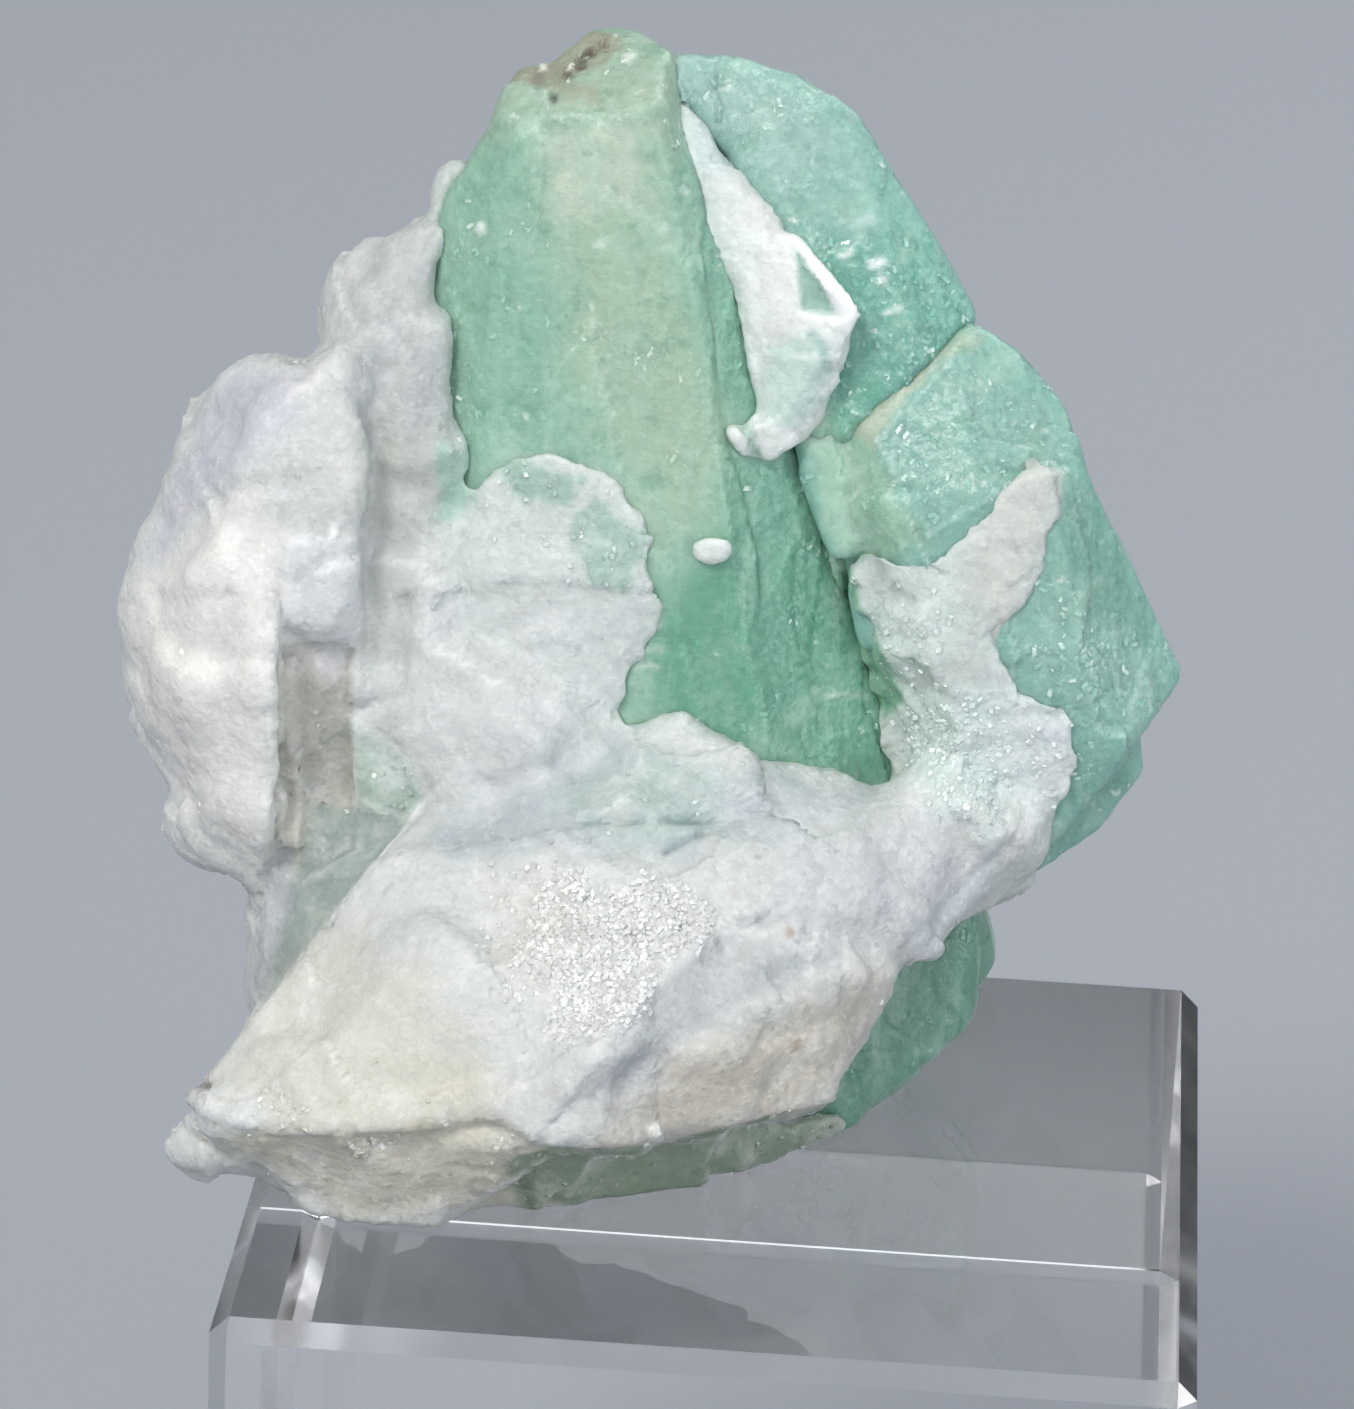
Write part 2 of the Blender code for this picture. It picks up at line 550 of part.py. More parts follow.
def material(name, colour, roughness, transmission=0.0, ior=1.5):
    """A plain Principled material."""
    made = bpy.data.materials.new(name)
    made.use_nodes = True
    shader = made.node_tree.nodes["Principled BSDF"]
    shader.inputs["Base Color"].default_value = (*colour, 1.0)
    shader.inputs["Roughness"].default_value = roughness
    shader.inputs["Metallic"].default_value = 0.0
    shader.inputs["Transmission Weight"].default_value = transmission
    shader.inputs["IOR"].default_value = ior
    return made


def node(name, shape, finish, hidden=False):
    """An object made from a bmesh in millimetres."""
    bmesh.ops.scale(shape, vec=(MM, MM, MM), verts=shape.verts)
    mesh = bpy.data.meshes.new(name)
    shape.to_mesh(mesh)
    shape.free()
    made = bpy.data.objects.new(name, mesh)
    bpy.context.scene.collection.objects.link(made)
    if finish:
        mesh.materials.append(finish)
    if hidden:
        made.hide_render = True
        made.display_type = "WIRE"
    return made


def combine(target, other, operation, solver="EXACT"):
    """Joins another solid to the target, or takes its space out."""
    step = target.modifiers.new(other.name, "BOOLEAN")
    step.operation = operation
    step.solver = solver
    step.object = other


def box(low, high):
    """A plain box between two corners."""
    shape = bmesh.new()
    bmesh.ops.create_cube(shape, size=1.0)
    size = high - low
    bmesh.ops.scale(shape, vec=size, verts=shape.verts)
    bmesh.ops.translate(shape, vec=(low + high) / 2, verts=shape.verts)
    return shape


def display_block():
    """The polished cube, standing on the floor with the origin under its middle."""
    half = BLOCK_SIDE / 2
    shape = box(Vector((-half, -half, 0.0)), Vector((half, half, BLOCK_SIDE)))
    bmesh.ops.bevel(
        shape, geom=shape.edges[:], offset=BLOCK_CHAMFER, offset_type="OFFSET", segments=1, affect="EDGES",
    )
    return shape


def cleaved(crystal, spare=0.0):
    """The solid inside a crystal's faces. Spare, in millimetres, moves every face out."""
    centre = drawn(*crystal.middle)
    reach = Vector((BLANK_REACH, BLANK_REACH, BLANK_REACH))
    shape = box(centre - reach, centre + reach)
    for corners in crystal.faces.values():
        first, second, third = (drawn(*corner) for corner in corners)
        outward = (second - first).cross(third - first).normalized()
        if outward.dot(centre - first) > 0:
            outward.negate()
        result = bmesh.ops.bisect_plane(
            shape, geom=shape.verts[:] + shape.edges[:] + shape.faces[:], dist=PLANE_SNAP,
            plane_co=first + outward * spare, plane_no=outward, clear_outer=True,
        )
        edges = [part for part in result["geom_cut"] if isinstance(part, bmesh.types.BMEdge)]
        if edges:
            bmesh.ops.contextual_create(shape, geom=edges)
    bmesh.ops.recalc_face_normals(shape, faces=shape.faces)
    return shape


def add_lump(shape, lump):
    """Adds the lump's convex hull to the shape."""
    rim = [corner if len(corner) == 3 else (*corner, lump.rim_depth) for corner in lump.rim]
    across = sum(corner[0] for corner in rim) / len(rim)
    up = sum(corner[1] for corner in rim) / len(rim)
    share = lump.back_share
    back = [
        (across + (corner[0] - across) * share, up + (corner[1] - up) * share, lump.back_depth)
        for corner in rim
    ]
    corners = [drawn(*corner) for corner in (*rim, *lump.front, *back)]
    verts = [shape.verts.new(corner) for corner in corners]
    bmesh.ops.convex_hull(shape, input=verts, use_existing_faces=False)
    for vert in verts:
        if vert.is_valid and not vert.link_faces:
            shape.verts.remove(vert)


def fused(lumps):
    """The lumps grown into one closed skin of even grain."""
    shape = bmesh.new()
    for lump in lumps:
        add_lump(shape, lump)
    bmesh.ops.recalc_face_normals(shape, faces=shape.faces)
    rough = node("fused_lumps", shape, None, hidden=True)
    grain = rough.modifiers.new("grain", "REMESH")
    grain.mode = "VOXEL"
    grain.voxel_size = MATRIX_GRAIN * MM
    bpy.context.view_layer.update()
    seen = rough.evaluated_get(bpy.context.evaluated_depsgraph_get())
    skin = bmesh.new()
    skin.from_mesh(seen.to_mesh())
    seen.to_mesh_clear()
    bpy.data.objects.remove(rough)
    bmesh.ops.scale(skin, vec=(1 / MM, 1 / MM, 1 / MM), verts=skin.verts)
    return skin


def drift(place):
    """A smooth vector that wanders from place to place."""
    return Vector([noise.noise(place + Vector((shift, 0.0, 0.0))) for shift in DRIFT_SHIFTS])


def weathered(skin):
    """Moves the skin in and out: soft swellings, and flat facets that tilt and step at their rims."""
    skin.normal_update()
    moves = []
    for vert in skin.verts:
        place = vert.co / FACET_SIZE + drift(vert.co / SWELL_SIZE) * FACET_WARP
        centre = noise.voronoi(place)[1][0]
        tilt = (place - centre).dot(noise.cell_vector(centre * CELL_SPREAD)) * FACET_TILT
        step = (noise.cell(centre * CELL_SPREAD) - 0.5) * FACET_STEP
        swell = noise.fractal(vert.co / SWELL_SIZE, SWELL_FADE, SWELL_FINER, SWELL_OCTAVES) * SWELL_DEPTH
        moves.append(vert.normal * (tilt + step + swell - WEAR))
    for vert, move in zip(skin.verts, moves):
        vert.co += move
    return skin


def rough_rock(name, lumps, finish):
    """A rough solid of white matrix, before its pockets are cut."""
    made = node(name, weathered(fused(lumps)), finish)
    thin = made.modifiers.new("facets", "DECIMATE")
    thin.ratio = FACET_SHARE
    return made


def grown_together(first, waiting):
    """The faces that join on to the first one over shared edges, taken out of those waiting."""
    found = [first]
    for face in found:
        for edge in face.edges:
            for other in edge.link_faces:
                if other in waiting:
                    waiting.remove(other)
                    found.append(other)
    return found


def drop_crumbs(made):
    """Applies the object's modifiers and keeps its largest piece alone."""
    bpy.context.view_layer.update()
    seen = made.evaluated_get(bpy.context.evaluated_depsgraph_get())
    shape = bmesh.new()
    shape.from_mesh(seen.to_mesh())
    seen.to_mesh_clear()
    bmesh.ops.triangulate(shape, faces=shape.faces)
    waiting = set(shape.faces)
    pieces = []
    for face in shape.faces:
        if face in waiting:
            waiting.remove(face)
            pieces.append(grown_together(face, waiting))
    pieces.sort(key=len)
    for crumb in pieces[:-1]:
        bmesh.ops.delete(shape, geom=crumb, context="FACES")
    shape.to_mesh(made.data)
    shape.free()
    made.modifiers.clear()


def main():
    """Makes every piece where it lies."""
    for old in list(bpy.data.objects):
        bpy.data.objects.remove(old)
    acrylic = material("clear acrylic", (0.9, 0.92, 0.93), 0.03, 1.0, 1.49)
    beryl = material("pale green beryl", (0.32, 0.6, 0.45), 0.3, 0.2, 1.57)
    calcite = material("white calcite", (0.75, 0.74, 0.72), 0.55, 0.0, 1.56)
    node("display_block", display_block(), acrylic)
    seat_low = Vector((-BLANK_REACH, -BLANK_REACH, 0.0))
    seat_high = Vector((BLANK_REACH, BLANK_REACH, BLOCK_SIDE + CONTACT_GAP))
    seat = node("seat_cutter", box(seat_low, seat_high), None, hidden=True)
    rocks = [rough_rock("matrix", LUMPS, calcite), rough_rock("matrix_sliver", SLIVER_LUMPS, calcite)]
    pockets = []
    for name, grown in CRYSTALS.items():
        first, *others = grown
        made = node(name, cleaved(first), beryl)
        for number, other in enumerate(others):
            branch = node(f"{name}_branch_{number}", cleaved(other), None, hidden=True)
            combine(made, branch, "UNION")
        combine(made, seat, "DIFFERENCE")
        for pocket in pockets:
            combine(made, pocket, "DIFFERENCE")
        for number, each in enumerate(grown):
            pockets.append(node(f"{name}_pocket_{number}", cleaved(each, CONTACT_GAP), None, hidden=True))
    for rock in rocks:
        for cutter in (seat, *pockets):
            combine(rock, cutter, "DIFFERENCE", "MANIFOLD")
        drop_crumbs(rock)


if __name__ == "__main__":
    main()
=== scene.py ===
"""The finish of a natural emerald specimen and of the clear cube that it lies on.

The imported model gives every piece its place. Each lump of rock and each crystal is skinned finely over its
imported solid, carved with the ledges, creases and cracks that the good face shows, and coloured by named
areas. Lengths here are millimetres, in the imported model's frame, until a mesh is made. Places on the good
face are given as pixels of the reference picture, 1354 wide and 1409 high, and reach the specimen through
the eye that the picture was taken from.
"""

import logging
import math
from dataclasses import dataclass, field
from enum import Enum

import bmesh
import bpy
import numpy as np
from mathutils import Matrix, Vector, noise
from mathutils.bvhtree import BVHTree


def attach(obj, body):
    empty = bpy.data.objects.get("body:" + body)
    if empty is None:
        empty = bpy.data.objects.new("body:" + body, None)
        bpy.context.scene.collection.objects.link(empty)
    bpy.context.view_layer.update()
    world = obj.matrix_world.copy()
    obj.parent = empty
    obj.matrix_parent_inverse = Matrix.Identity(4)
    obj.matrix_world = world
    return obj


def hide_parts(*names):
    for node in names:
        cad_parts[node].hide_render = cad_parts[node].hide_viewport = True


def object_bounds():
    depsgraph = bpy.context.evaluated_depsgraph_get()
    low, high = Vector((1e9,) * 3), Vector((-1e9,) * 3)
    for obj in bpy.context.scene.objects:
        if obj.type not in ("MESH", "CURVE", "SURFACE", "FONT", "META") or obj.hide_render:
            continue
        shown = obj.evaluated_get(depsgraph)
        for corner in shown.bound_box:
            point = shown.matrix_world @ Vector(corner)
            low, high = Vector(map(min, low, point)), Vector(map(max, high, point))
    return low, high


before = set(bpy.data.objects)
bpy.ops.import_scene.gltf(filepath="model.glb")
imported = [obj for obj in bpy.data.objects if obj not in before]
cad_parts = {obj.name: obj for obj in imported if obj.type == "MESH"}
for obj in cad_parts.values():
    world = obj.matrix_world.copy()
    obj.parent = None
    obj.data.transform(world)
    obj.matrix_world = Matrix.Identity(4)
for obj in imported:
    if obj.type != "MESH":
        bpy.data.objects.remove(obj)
CAD_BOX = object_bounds()

MM = 0.001
ROOT = "root"
CONTACT_GAP = 0.3
BLOCK_SIDE = 31.75
LOG = logging.getLogger("emerald")

Pixels = tuple[tuple[float, float], ...]


def linear(code: str) -> tuple[float, float, float]:
    """Turns an sRGB colour into linear light.

    Args:
        code: the colour as #RRGGBB.

    Returns:
        Red, green and blue from 0 to 1.
    """
    parts = [int(code[i:i + 2], 16) / 255 for i in (1, 3, 5)]
    return tuple(c / 12.92 if c <= 0.04045 else ((c + 0.055) / 1.055) ** 2.4 for c in parts)


def smooth(low: float, high: float, value: np.ndarray) -> np.ndarray:
    """Runs softly from 0 at low to 1 at high."""
    t = np.clip((value - low) / (high - low), 0.0, 1.0)
    return t * t * (3.0 - 2.0 * t)


def wander(points: np.ndarray, size: float, shift: float = 0.0) -> np.ndarray:
    """Gives smooth noise from about -1 to 1.

    Args:
        points: the places, in millimetres.
        size: the width of one swell, in millimetres.
        shift: moves the pattern, so that two of them differ.

    Returns:
        One number for each place.
    """
    rows = (points / size + shift).tolist()
    return np.fromiter((noise.noise(row) for row in rows), float, len(rows))


@dataclass(frozen=True)
class Eye:
    """The eye that the reference picture was taken from, worked out from the corners of the cube's top."""

    place: tuple[float, float, float] = (9.151, -206.917, 131.162)
    turn: float = 3.23612
    down: float = 21.92704
    roll: float = 2.45677
    focal: float = 6723.66
    width: float = 1354.0
    height: float = 1409.0
    sensor: float = 36.0

    def axes(self) -> tuple[Vector, Vector, Vector]:
        """Gives the directions to the right, up and ahead."""
        turn, down, roll = (math.radians(a) for a in (self.turn, self.down, self.roll))
        ahead = Vector((-math.sin(turn) * math.cos(down), math.cos(turn) * math.cos(down), -math.sin(down)))
        level = Vector((math.cos(turn), math.sin(turn), 0.0))
        over = level.cross(ahead)
        right = level * math.cos(roll) + over * math.sin(roll)
        up = over * math.cos(roll) - level * math.sin(roll)
        return right, up, ahead

    def pixels(self, points: np.ndarray) -> np.ndarray:
        """Finds where places are in the picture.

        Args:
            points: the places, in millimetres, one row each.

        Returns:
            Pixels across and down, one row each.
        """
        right, up, ahead = (np.array(axis) for axis in self.axes())
        away = points - np.array(self.place)
        far = away @ ahead
        across = self.width / 2 + self.focal * (away @ right) / far
        below = self.height / 2 - self.focal * (away @ up) / far
        return np.column_stack((across, below))

    def place_at(self, across: float, below: float, depth: float) -> Vector:
        """Finds the place that a pixel shows at a depth along Y, in millimetres."""
        right, up, ahead = self.axes()
        sight = ahead * self.focal + right * (across - self.width / 2) - up * (below - self.height / 2)
        return Vector(self.place) + sight * ((depth - self.place[1]) / sight.y)

    def sees(self, points: np.ndarray, normals: np.ndarray, skin: BVHTree, slack: float = 0.8) -> np.ndarray:
        """Tells how much of the eye's attention each place gets.

        Args:
            points: the places, in millimetres.
            normals: the surface's direction at each.
            skin: the surface itself.
            slack: how far behind the first surface still counts, in millimetres.

        Returns:
            A share from 0, hidden or turned away, to 1.
        """
        place = Vector(self.place)
        away = points - np.array(self.place)
        far = np.linalg.norm(away, axis=1)
        rays = away / far[:, None]
        facing = smooth(0.0, 0.25, -(rays * normals).sum(axis=1))
        hits = (skin.ray_cast(place, Vector(ray))[3] for ray in rays.tolist())
        first = np.fromiter((hit if hit is not None else 1e9 for hit in hits), float, len(far))
        return facing * (first > far - slack)

    def camera(self) -> bpy.types.Object:
        """Makes the scene's camera at this eye."""
        right, up, ahead = self.axes()
        lens = bpy.data.cameras.new("camera")
        lens.sensor_width = self.sensor
        lens.lens = self.sensor * self.focal / self.height
        lens.clip_start = 0.001
        made = bpy.data.objects.new("camera", lens)
        turned = Matrix((right, up, -ahead)).transposed().to_4x4()
        turned.translation = Vector(self.place) * MM
        made.matrix_world = turned
        bpy.context.scene.collection.objects.link(made)
        bpy.context.scene.camera = made
        return made


EYE = Eye()


def line_distance(where: np.ndarray, line: Pixels) -> tuple[np.ndarray, np.ndarray]:
    """Measures places in the picture against a line through it.

    Args:
        where: the places, in pixels.
        line: the line's points.

    Returns:
        Each place's distance to the line, and the same with a sign: positive to the right of its course
        as seen in the picture.
    """
    best = np.full(len(where), 1e9)
    signed = np.zeros(len(where))
    for start, end in zip(line[:-1], line[1:]):
        a = np.array(start)
        run = np.array(end) - a
        share = np.clip(((where - a) @ run) / (run @ run), 0.0, 1.0)
        gap = where - (a + share[:, None] * run)
        far = np.hypot(gap[:, 0], gap[:, 1])
        side = np.sign(run[0] * gap[:, 1] - run[1] * gap[:, 0])
        nearer = far < best
        best = np.where(nearer, far, best)
        signed = np.where(nearer, side * far, signed)
    return best, signed


def inside_distance(where: np.ndarray, outline: Pixels) -> np.ndarray:
    """Gives each place's distance inside an outline, negative outside, in pixels."""
    closed = (*outline, outline[0])
    far, _ = line_distance(where, closed)
    inside = np.zeros(len(where), bool)
    for (x0, y0), (x1, y1) in zip(closed[:-1], closed[1:]):
        if y0 != y1:
            crosses = (where[:, 1] > min(y0, y1)) & (where[:, 1] <= max(y0, y1))
            inside ^= crosses & (where[:, 0] < x0 + (where[:, 1] - y0) * (x1 - x0) / (y1 - y0))
    return np.where(inside, far, -far)


class Form(Enum):
    """How a carved line changes the surface."""

    GROOVE = "a rounded line, raised or cut in"
    LEDGE = "a step: the right of the line rises at once and falls back slowly"


@dataclass(frozen=True)
class Mark:
    """A line carved on the good face. Height is in millimetres; width and edge are in pixels. A colour, where given, is
    painted along the line: painted shade in some cracks, creases and gaps, a painted glint on some edges, elsewhere the
    stone's own streaks and flecks.
    """

    line: Pixels
    height: float
    width: float
    form: Form = Form.GROOVE
    edge: float = 4.0
    colour: str | None = None

    def lift(self, where: np.ndarray) -> np.ndarray:
        """Gives how far this mark moves each place in the picture outwards."""
        far, signed = line_distance(where, self.line)
        if self.form is Form.GROOVE:
            return self.height * np.exp(-(far / self.width) ** 2)
        ends = far > np.abs(signed) + self.width
        rise = smooth(-self.edge, self.edge, signed) * smooth(self.width, 0.0, far)
        return self.height * np.where(ends, 0.0, rise)


def facets(points: np.ndarray, size: float, tilt: float, step: float, stretch: tuple = (1.0, 1.0, 1.0)) -> np.ndarray:
    """Gives a relief of flat tilted planes that meet at crisp rims, as broken spar has.

    Args:
        points: the places, in millimetres.
        size: how wide a plane is.
        tilt: how far a plane leans across that width.
        step: how far neighbouring planes stand apart.
        stretch: how much longer the planes are along each axis.

    Returns:
        One height for each place, in millimetres.
    """
    bent = np.column_stack([wander(points, size * 1.7, shift) for shift in (11.0, 23.0, 37.0)])
    rows = points / (size * np.array(stretch)) + 0.28 * bent
    heights = np.empty(len(rows))
    for number, row in enumerate(rows.tolist()):
        place = Vector(row)
        middle = noise.voronoi(place)[1][0]
        key = middle * 7.3
        heights[number] = (place - middle).dot(noise.cell_vector(key)) * tilt + (noise.cell(key) - 0.5) * step
    return heights


@dataclass(frozen=True)
class Area:
    """A named area of the good face: its colour, which on some areas is painted light or shade, and how it stands out,
    crumbles, is ribbed or is calm.
    """

    outline: Pixels
    colour: str | None = None
    strength: float = 1.0
    feather: float = 18.0
    ragged: float = 10.0
    raised: float = 0.0
    sugar: float = 0.0
    ribs: float = 0.0
    thin: float = 0.0
    calm: float = 0.0

    def share(self, where: np.ndarray, points: np.ndarray) -> np.ndarray:
        """Gives how much each place belongs to the area, with a ragged, soft rim."""
        deep = inside_distance(where, self.outline)
        deep = deep + self.ragged * (wander(points, 1.3, 5.0) + 0.6 * wander(points, 0.45, 9.0))
        return smooth(-self.feather, self.feather, deep)

    def lift(self, points: np.ndarray) -> np.ndarray:
        """Gives the area's own relief, in millimetres."""
        upright = points * np.array((1.0, 1.0, 0.12))
        return self.raised + self.ribs * wander(upright, 0.55, 21.0)


@dataclass(frozen=True)
class Lump:
    """A small convex lump on the good face, by its corners: pixels across and down, and millimetres deep."""

    corners: tuple[tuple[float, float, float], ...]

    def add(self, shape: bmesh.types.BMesh) -> None:
        """Adds the lump to a shape, in metres."""
        verts = [shape.verts.new(EYE.place_at(*corner) * MM) for corner in self.corners]
        made = bmesh.ops.convex_hull(shape, input=verts, use_existing_faces=False)
        bmesh.ops.delete(shape, geom=made["geom_interior"], context="VERTS")


@dataclass(frozen=True)
class Nudge:
    """A gentle shift of a piece's skin across the picture. All its values are pixels."""

    middle: tuple[float, float]
    reach: float
    shift: tuple[float, float]

    def move(self, points: np.ndarray) -> np.ndarray:
        """Gives the moves of the points, in millimetres."""
        right, up, ahead = (np.array(axis) for axis in EYE.axes())
        far = np.hypot(*(EYE.pixels(points) - np.array(self.middle)).T)
        size = ((points - np.array(EYE.place)) @ ahead) / EYE.focal * np.exp(-(far / self.reach) ** 2)
        return size[:, None] * (right * self.shift[0] - up * self.shift[1])


@dataclass(frozen=True)
class Spot:
    """A small round stain, pit, crumb or painted glint, by the pixel of its middle and its radius in pixels. A pit's
    dark colour is painted shade.
    """

    middle: tuple[float, float]
    radius: float
    colour: str
    strength: float = 1.0
    raised: float = 0.0


def put(tree: bpy.types.NodeTree, kind: str, links: dict | None = None, **settings) -> bpy.types.Node:
    """Adds a node to a tree.

    Args:
        tree: the tree that gets the node.
        kind: the node's type.
        links: what goes into each input, by its name or number: another node's output, or a value.
        settings: the node's own properties.

    Returns:
        The new node.
    """
    made = tree.nodes.new(kind)
    for name, value in settings.items():
        setattr(made, name, value)
    for name, value in (links or {}).items():
        if isinstance(value, bpy.types.NodeSocket):
            tree.links.new(value, made.inputs[name])
        else:
            made.inputs[name].default_value = value
    return made


@dataclass(frozen=True)
class MineralFinish:
    """A broken or grown mineral surface: light sinks in a little, and its grains have small flat faces.

    The colour comes from the piece's own tint attribute. Veils, clouds and single grains vary it. Where the
    sugar attribute is high, the grains stand out and are glassy.
    """

    name: str
    ior: float
    roughness: float
    depth: float
    depth_colour: tuple[float, float, float]
    sink: float
    through: float
    veil: str
    veil_share: float
    deep: str
    deep_share: float
    cloud_size: float
    grain: float
    grain_tone: float
    relief: float
    sugar_relief: float
    fleck_share: float = 0.0
    streak: tuple[float, float, float] = (1.0, 1.0, 1.0)
    lean: tuple[float, float, float] = (0.0, 0.0, 0.0)
    streak_share: float = 0.0

    def make(self) -> bpy.types.Material:
        """Builds the material."""
        made = bpy.data.materials.new(self.name)
        made.use_nodes = True
        tree = made.node_tree
        shader = tree.nodes["Principled BSDF"]
        place = put(tree, "ShaderNodeTexCoord").outputs["Object"]
        tint = put(tree, "ShaderNodeAttribute", attribute_name="tint").outputs["Color"]
        sugar = put(tree, "ShaderNodeAttribute", attribute_name="sugar").outputs["Fac"]
        grains = put(tree, "ShaderNodeTexVoronoi", {"Vector": place, "Scale": 1 / (MM * self.grain)})
        colour = self.colour(tree, place, tint, grains, sugar)
        tree.links.new(colour, shader.inputs["Base Color"])
        self.surface(tree, shader, place, grains, sugar)
        shader.subsurface_method = "RANDOM_WALK"
        shader.inputs["IOR"].default_value = self.ior
        shader.inputs["Subsurface Weight"].default_value = self.sink
        shader.inputs["Subsurface Radius"].default_value = self.depth_colour
        shader.inputs["Subsurface Scale"].default_value = self.depth * MM
        shader.inputs["Transmission Weight"].default_value = self.through
        return made

    def cloud(self, tree, place, size: float, low: float, high: float, top: float) -> bpy.types.NodeSocket:
        """Makes a soft cloud mask of one size, from 0 to top."""
        noise_node = put(
            tree, "ShaderNodeTexNoise", {"Vector": place, "Scale": 1 / (MM * size), "Detail": 6.0, "Roughness": 0.68},
        )
        return put(
            tree, "ShaderNodeMapRange",
            {"Value": noise_node.outputs["Fac"], "From Min": low, "From Max": high, "To Min": 0.0, "To Max": top},
            interpolation_type="SMOOTHSTEP",
        ).outputs[0]

    def colour(self, tree, place, tint, grains, sugar) -> bpy.types.NodeSocket:
        """Mixes veils, deeper clouds, single grains and flecks into the tint."""
        along = put(tree, "ShaderNodeMapping", {"Vector": place, "Rotation": self.lean, "Scale": self.streak})
        veil = self.cloud(tree, place, self.cloud_size, 0.48, 0.7, self.veil_share)
        deep = self.cloud(tree, place, self.cloud_size * 0.55, 0.5, 0.72, self.deep_share)
        streaks = self.cloud(tree, along.outputs[0], 1.0, 0.5, 0.68, self.streak_share)
        mixed = tint
        for mask, code in ((veil, self.veil), (deep, self.deep), (streaks, self.veil)):
            mixed = put(
                tree, "ShaderNodeMix", {0: mask, 6: mixed, 7: (*linear(code), 1.0)}, data_type="RGBA",
            ).outputs[2]
        tone = put(tree, "ShaderNodeSeparateColor", {0: grains.outputs["Color"]})
        shade = put(
            tree, "ShaderNodeMapRange",
            {"Value": tone.outputs[0], "To Min": 1.0 - self.grain_tone, "To Max": 1.0 + self.grain_tone * 0.6},
        )
        mixed = put(tree, "ShaderNodeVectorMath", {0: mixed, 1: shade.outputs[0]}, operation="MULTIPLY").outputs[0]
        if self.fleck_share:
            waves = put(tree, "ShaderNodeTexNoise", {"Vector": place, "Scale": 1 / (MM * 0.35), "Detail": 2.0})
            bent = put(
                tree, "ShaderNodeVectorMath", {0: waves.outputs["Color"], 1: (0.7 * MM,) * 3, 2: place},
                operation="MULTIPLY_ADD",
            )
            dots = put(tree, "ShaderNodeTexVoronoi", {"Vector": bent.outputs[0], "Scale": 1 / (MM * 0.8)})
            near = put(
                tree, "ShaderNodeMapRange",
                {
                    "Value": dots.outputs["Distance"], "From Min": 0.06, "From Max": 0.2,
                    "To Min": self.fleck_share, "To Max": 0.0,
                },
            )
            patchy = self.cloud(tree, place, 3.1, 0.47, 0.6, 1.0)
            few = put(tree, "ShaderNodeMath", {0: near.outputs[0], 1: patchy}, operation="MULTIPLY")
            mixed = put(
                tree, "ShaderNodeMix", {0: few.outputs[0], 6: mixed, 7: (*linear("#E9F2EC"), 1.0)}, data_type="RGBA",
            ).outputs[2]
        return mixed

    def surface(self, tree, shader, place, grains, sugar) -> None:
        """Gives the skin its small flat faces, fine roughness and gloss."""
        gap = put(tree, "ShaderNodeVectorMath", {0: place, 1: grains.outputs["Position"]}, operation="SUBTRACT")
        turned = put(
            tree, "ShaderNodeVectorMath", {0: grains.outputs["Color"], 1: (0.5, 0.5, 0.5)}, operation="SUBTRACT",
        )
        plane = put(
            tree, "ShaderNodeVectorMath", {0: gap.outputs[0], 1: turned.outputs[0]}, operation="DOT_PRODUCT",
        )
        much = put(
            tree, "ShaderNodeMapRange", {"Value": sugar, "To Min": self.relief, "To Max": self.sugar_relief},
        )
        planes = put(
            tree, "ShaderNodeMath", {0: plane.outputs["Value"], 1: much.outputs[0]}, operation="MULTIPLY",
        )
        fine = put(
            tree, "ShaderNodeTexNoise", {"Vector": place, "Scale": 1 / (MM * 0.22), "Detail": 4.0, "Roughness": 0.62},
        )
        grit = put(tree, "ShaderNodeMath", {0: fine.outputs["Fac"], 1: 0.05 * MM}, operation="MULTIPLY")
        both = put(tree, "ShaderNodeMath", {0: planes.outputs[0], 1: grit.outputs[0]}, operation="ADD")
        bump = put(tree, "ShaderNodeBump", {"Height": both.outputs[0], "Strength": 1.0, "Distance": 1.0})
        tree.links.new(bump.outputs[0], shader.inputs["Normal"])
        patchy = self.cloud(tree, place, 1.1, 0.35, 0.65, 1.0)
        gloss = put(
            tree, "ShaderNodeMapRange",
            {"Value": patchy, "To Min": self.roughness * 0.75, "To Max": self.roughness * 1.25},
        )
        dull = put(
            tree, "ShaderNodeMix", {0: sugar, 2: gloss.outputs[0], 3: 0.16}, data_type="FLOAT",
        )
        tree.links.new(dull.outputs[0], shader.inputs["Roughness"])


@dataclass(frozen=True)
class AcrylicFinish:
    """Cast acrylic, clear as water, with faint rubbing marks on its skin."""

    name: str
    roughness: float
    rubbed: float
    tint: str = "#FFFFFF"
    ior: float = 1.49

    def make(self) -> bpy.types.Material:
        """Builds the material."""
        made = bpy.data.materials.new(self.name)
        made.use_nodes = True
        tree = made.node_tree
        shader = tree.nodes["Principled BSDF"]
        shader.inputs["Base Color"].default_value = (*linear(self.tint), 1.0)
        shader.inputs["IOR"].default_value = self.ior
        shader.inputs["Transmission Weight"].default_value = 1.0
        place = put(tree, "ShaderNodeTexCoord").outputs["Object"]
        haze = put(tree, "ShaderNodeTexNoise", {"Vector": place, "Scale": 400.0, "Detail": 5.0})
        dull = put(
            tree, "ShaderNodeMapRange",
            {
                "Value": haze.outputs["Fac"], "From Min": 0.45, "From Max": 0.75,
                "To Min": self.roughness, "To Max": self.rubbed,
            },
        )
        tree.links.new(dull.outputs[0], shader.inputs["Roughness"])
        return made


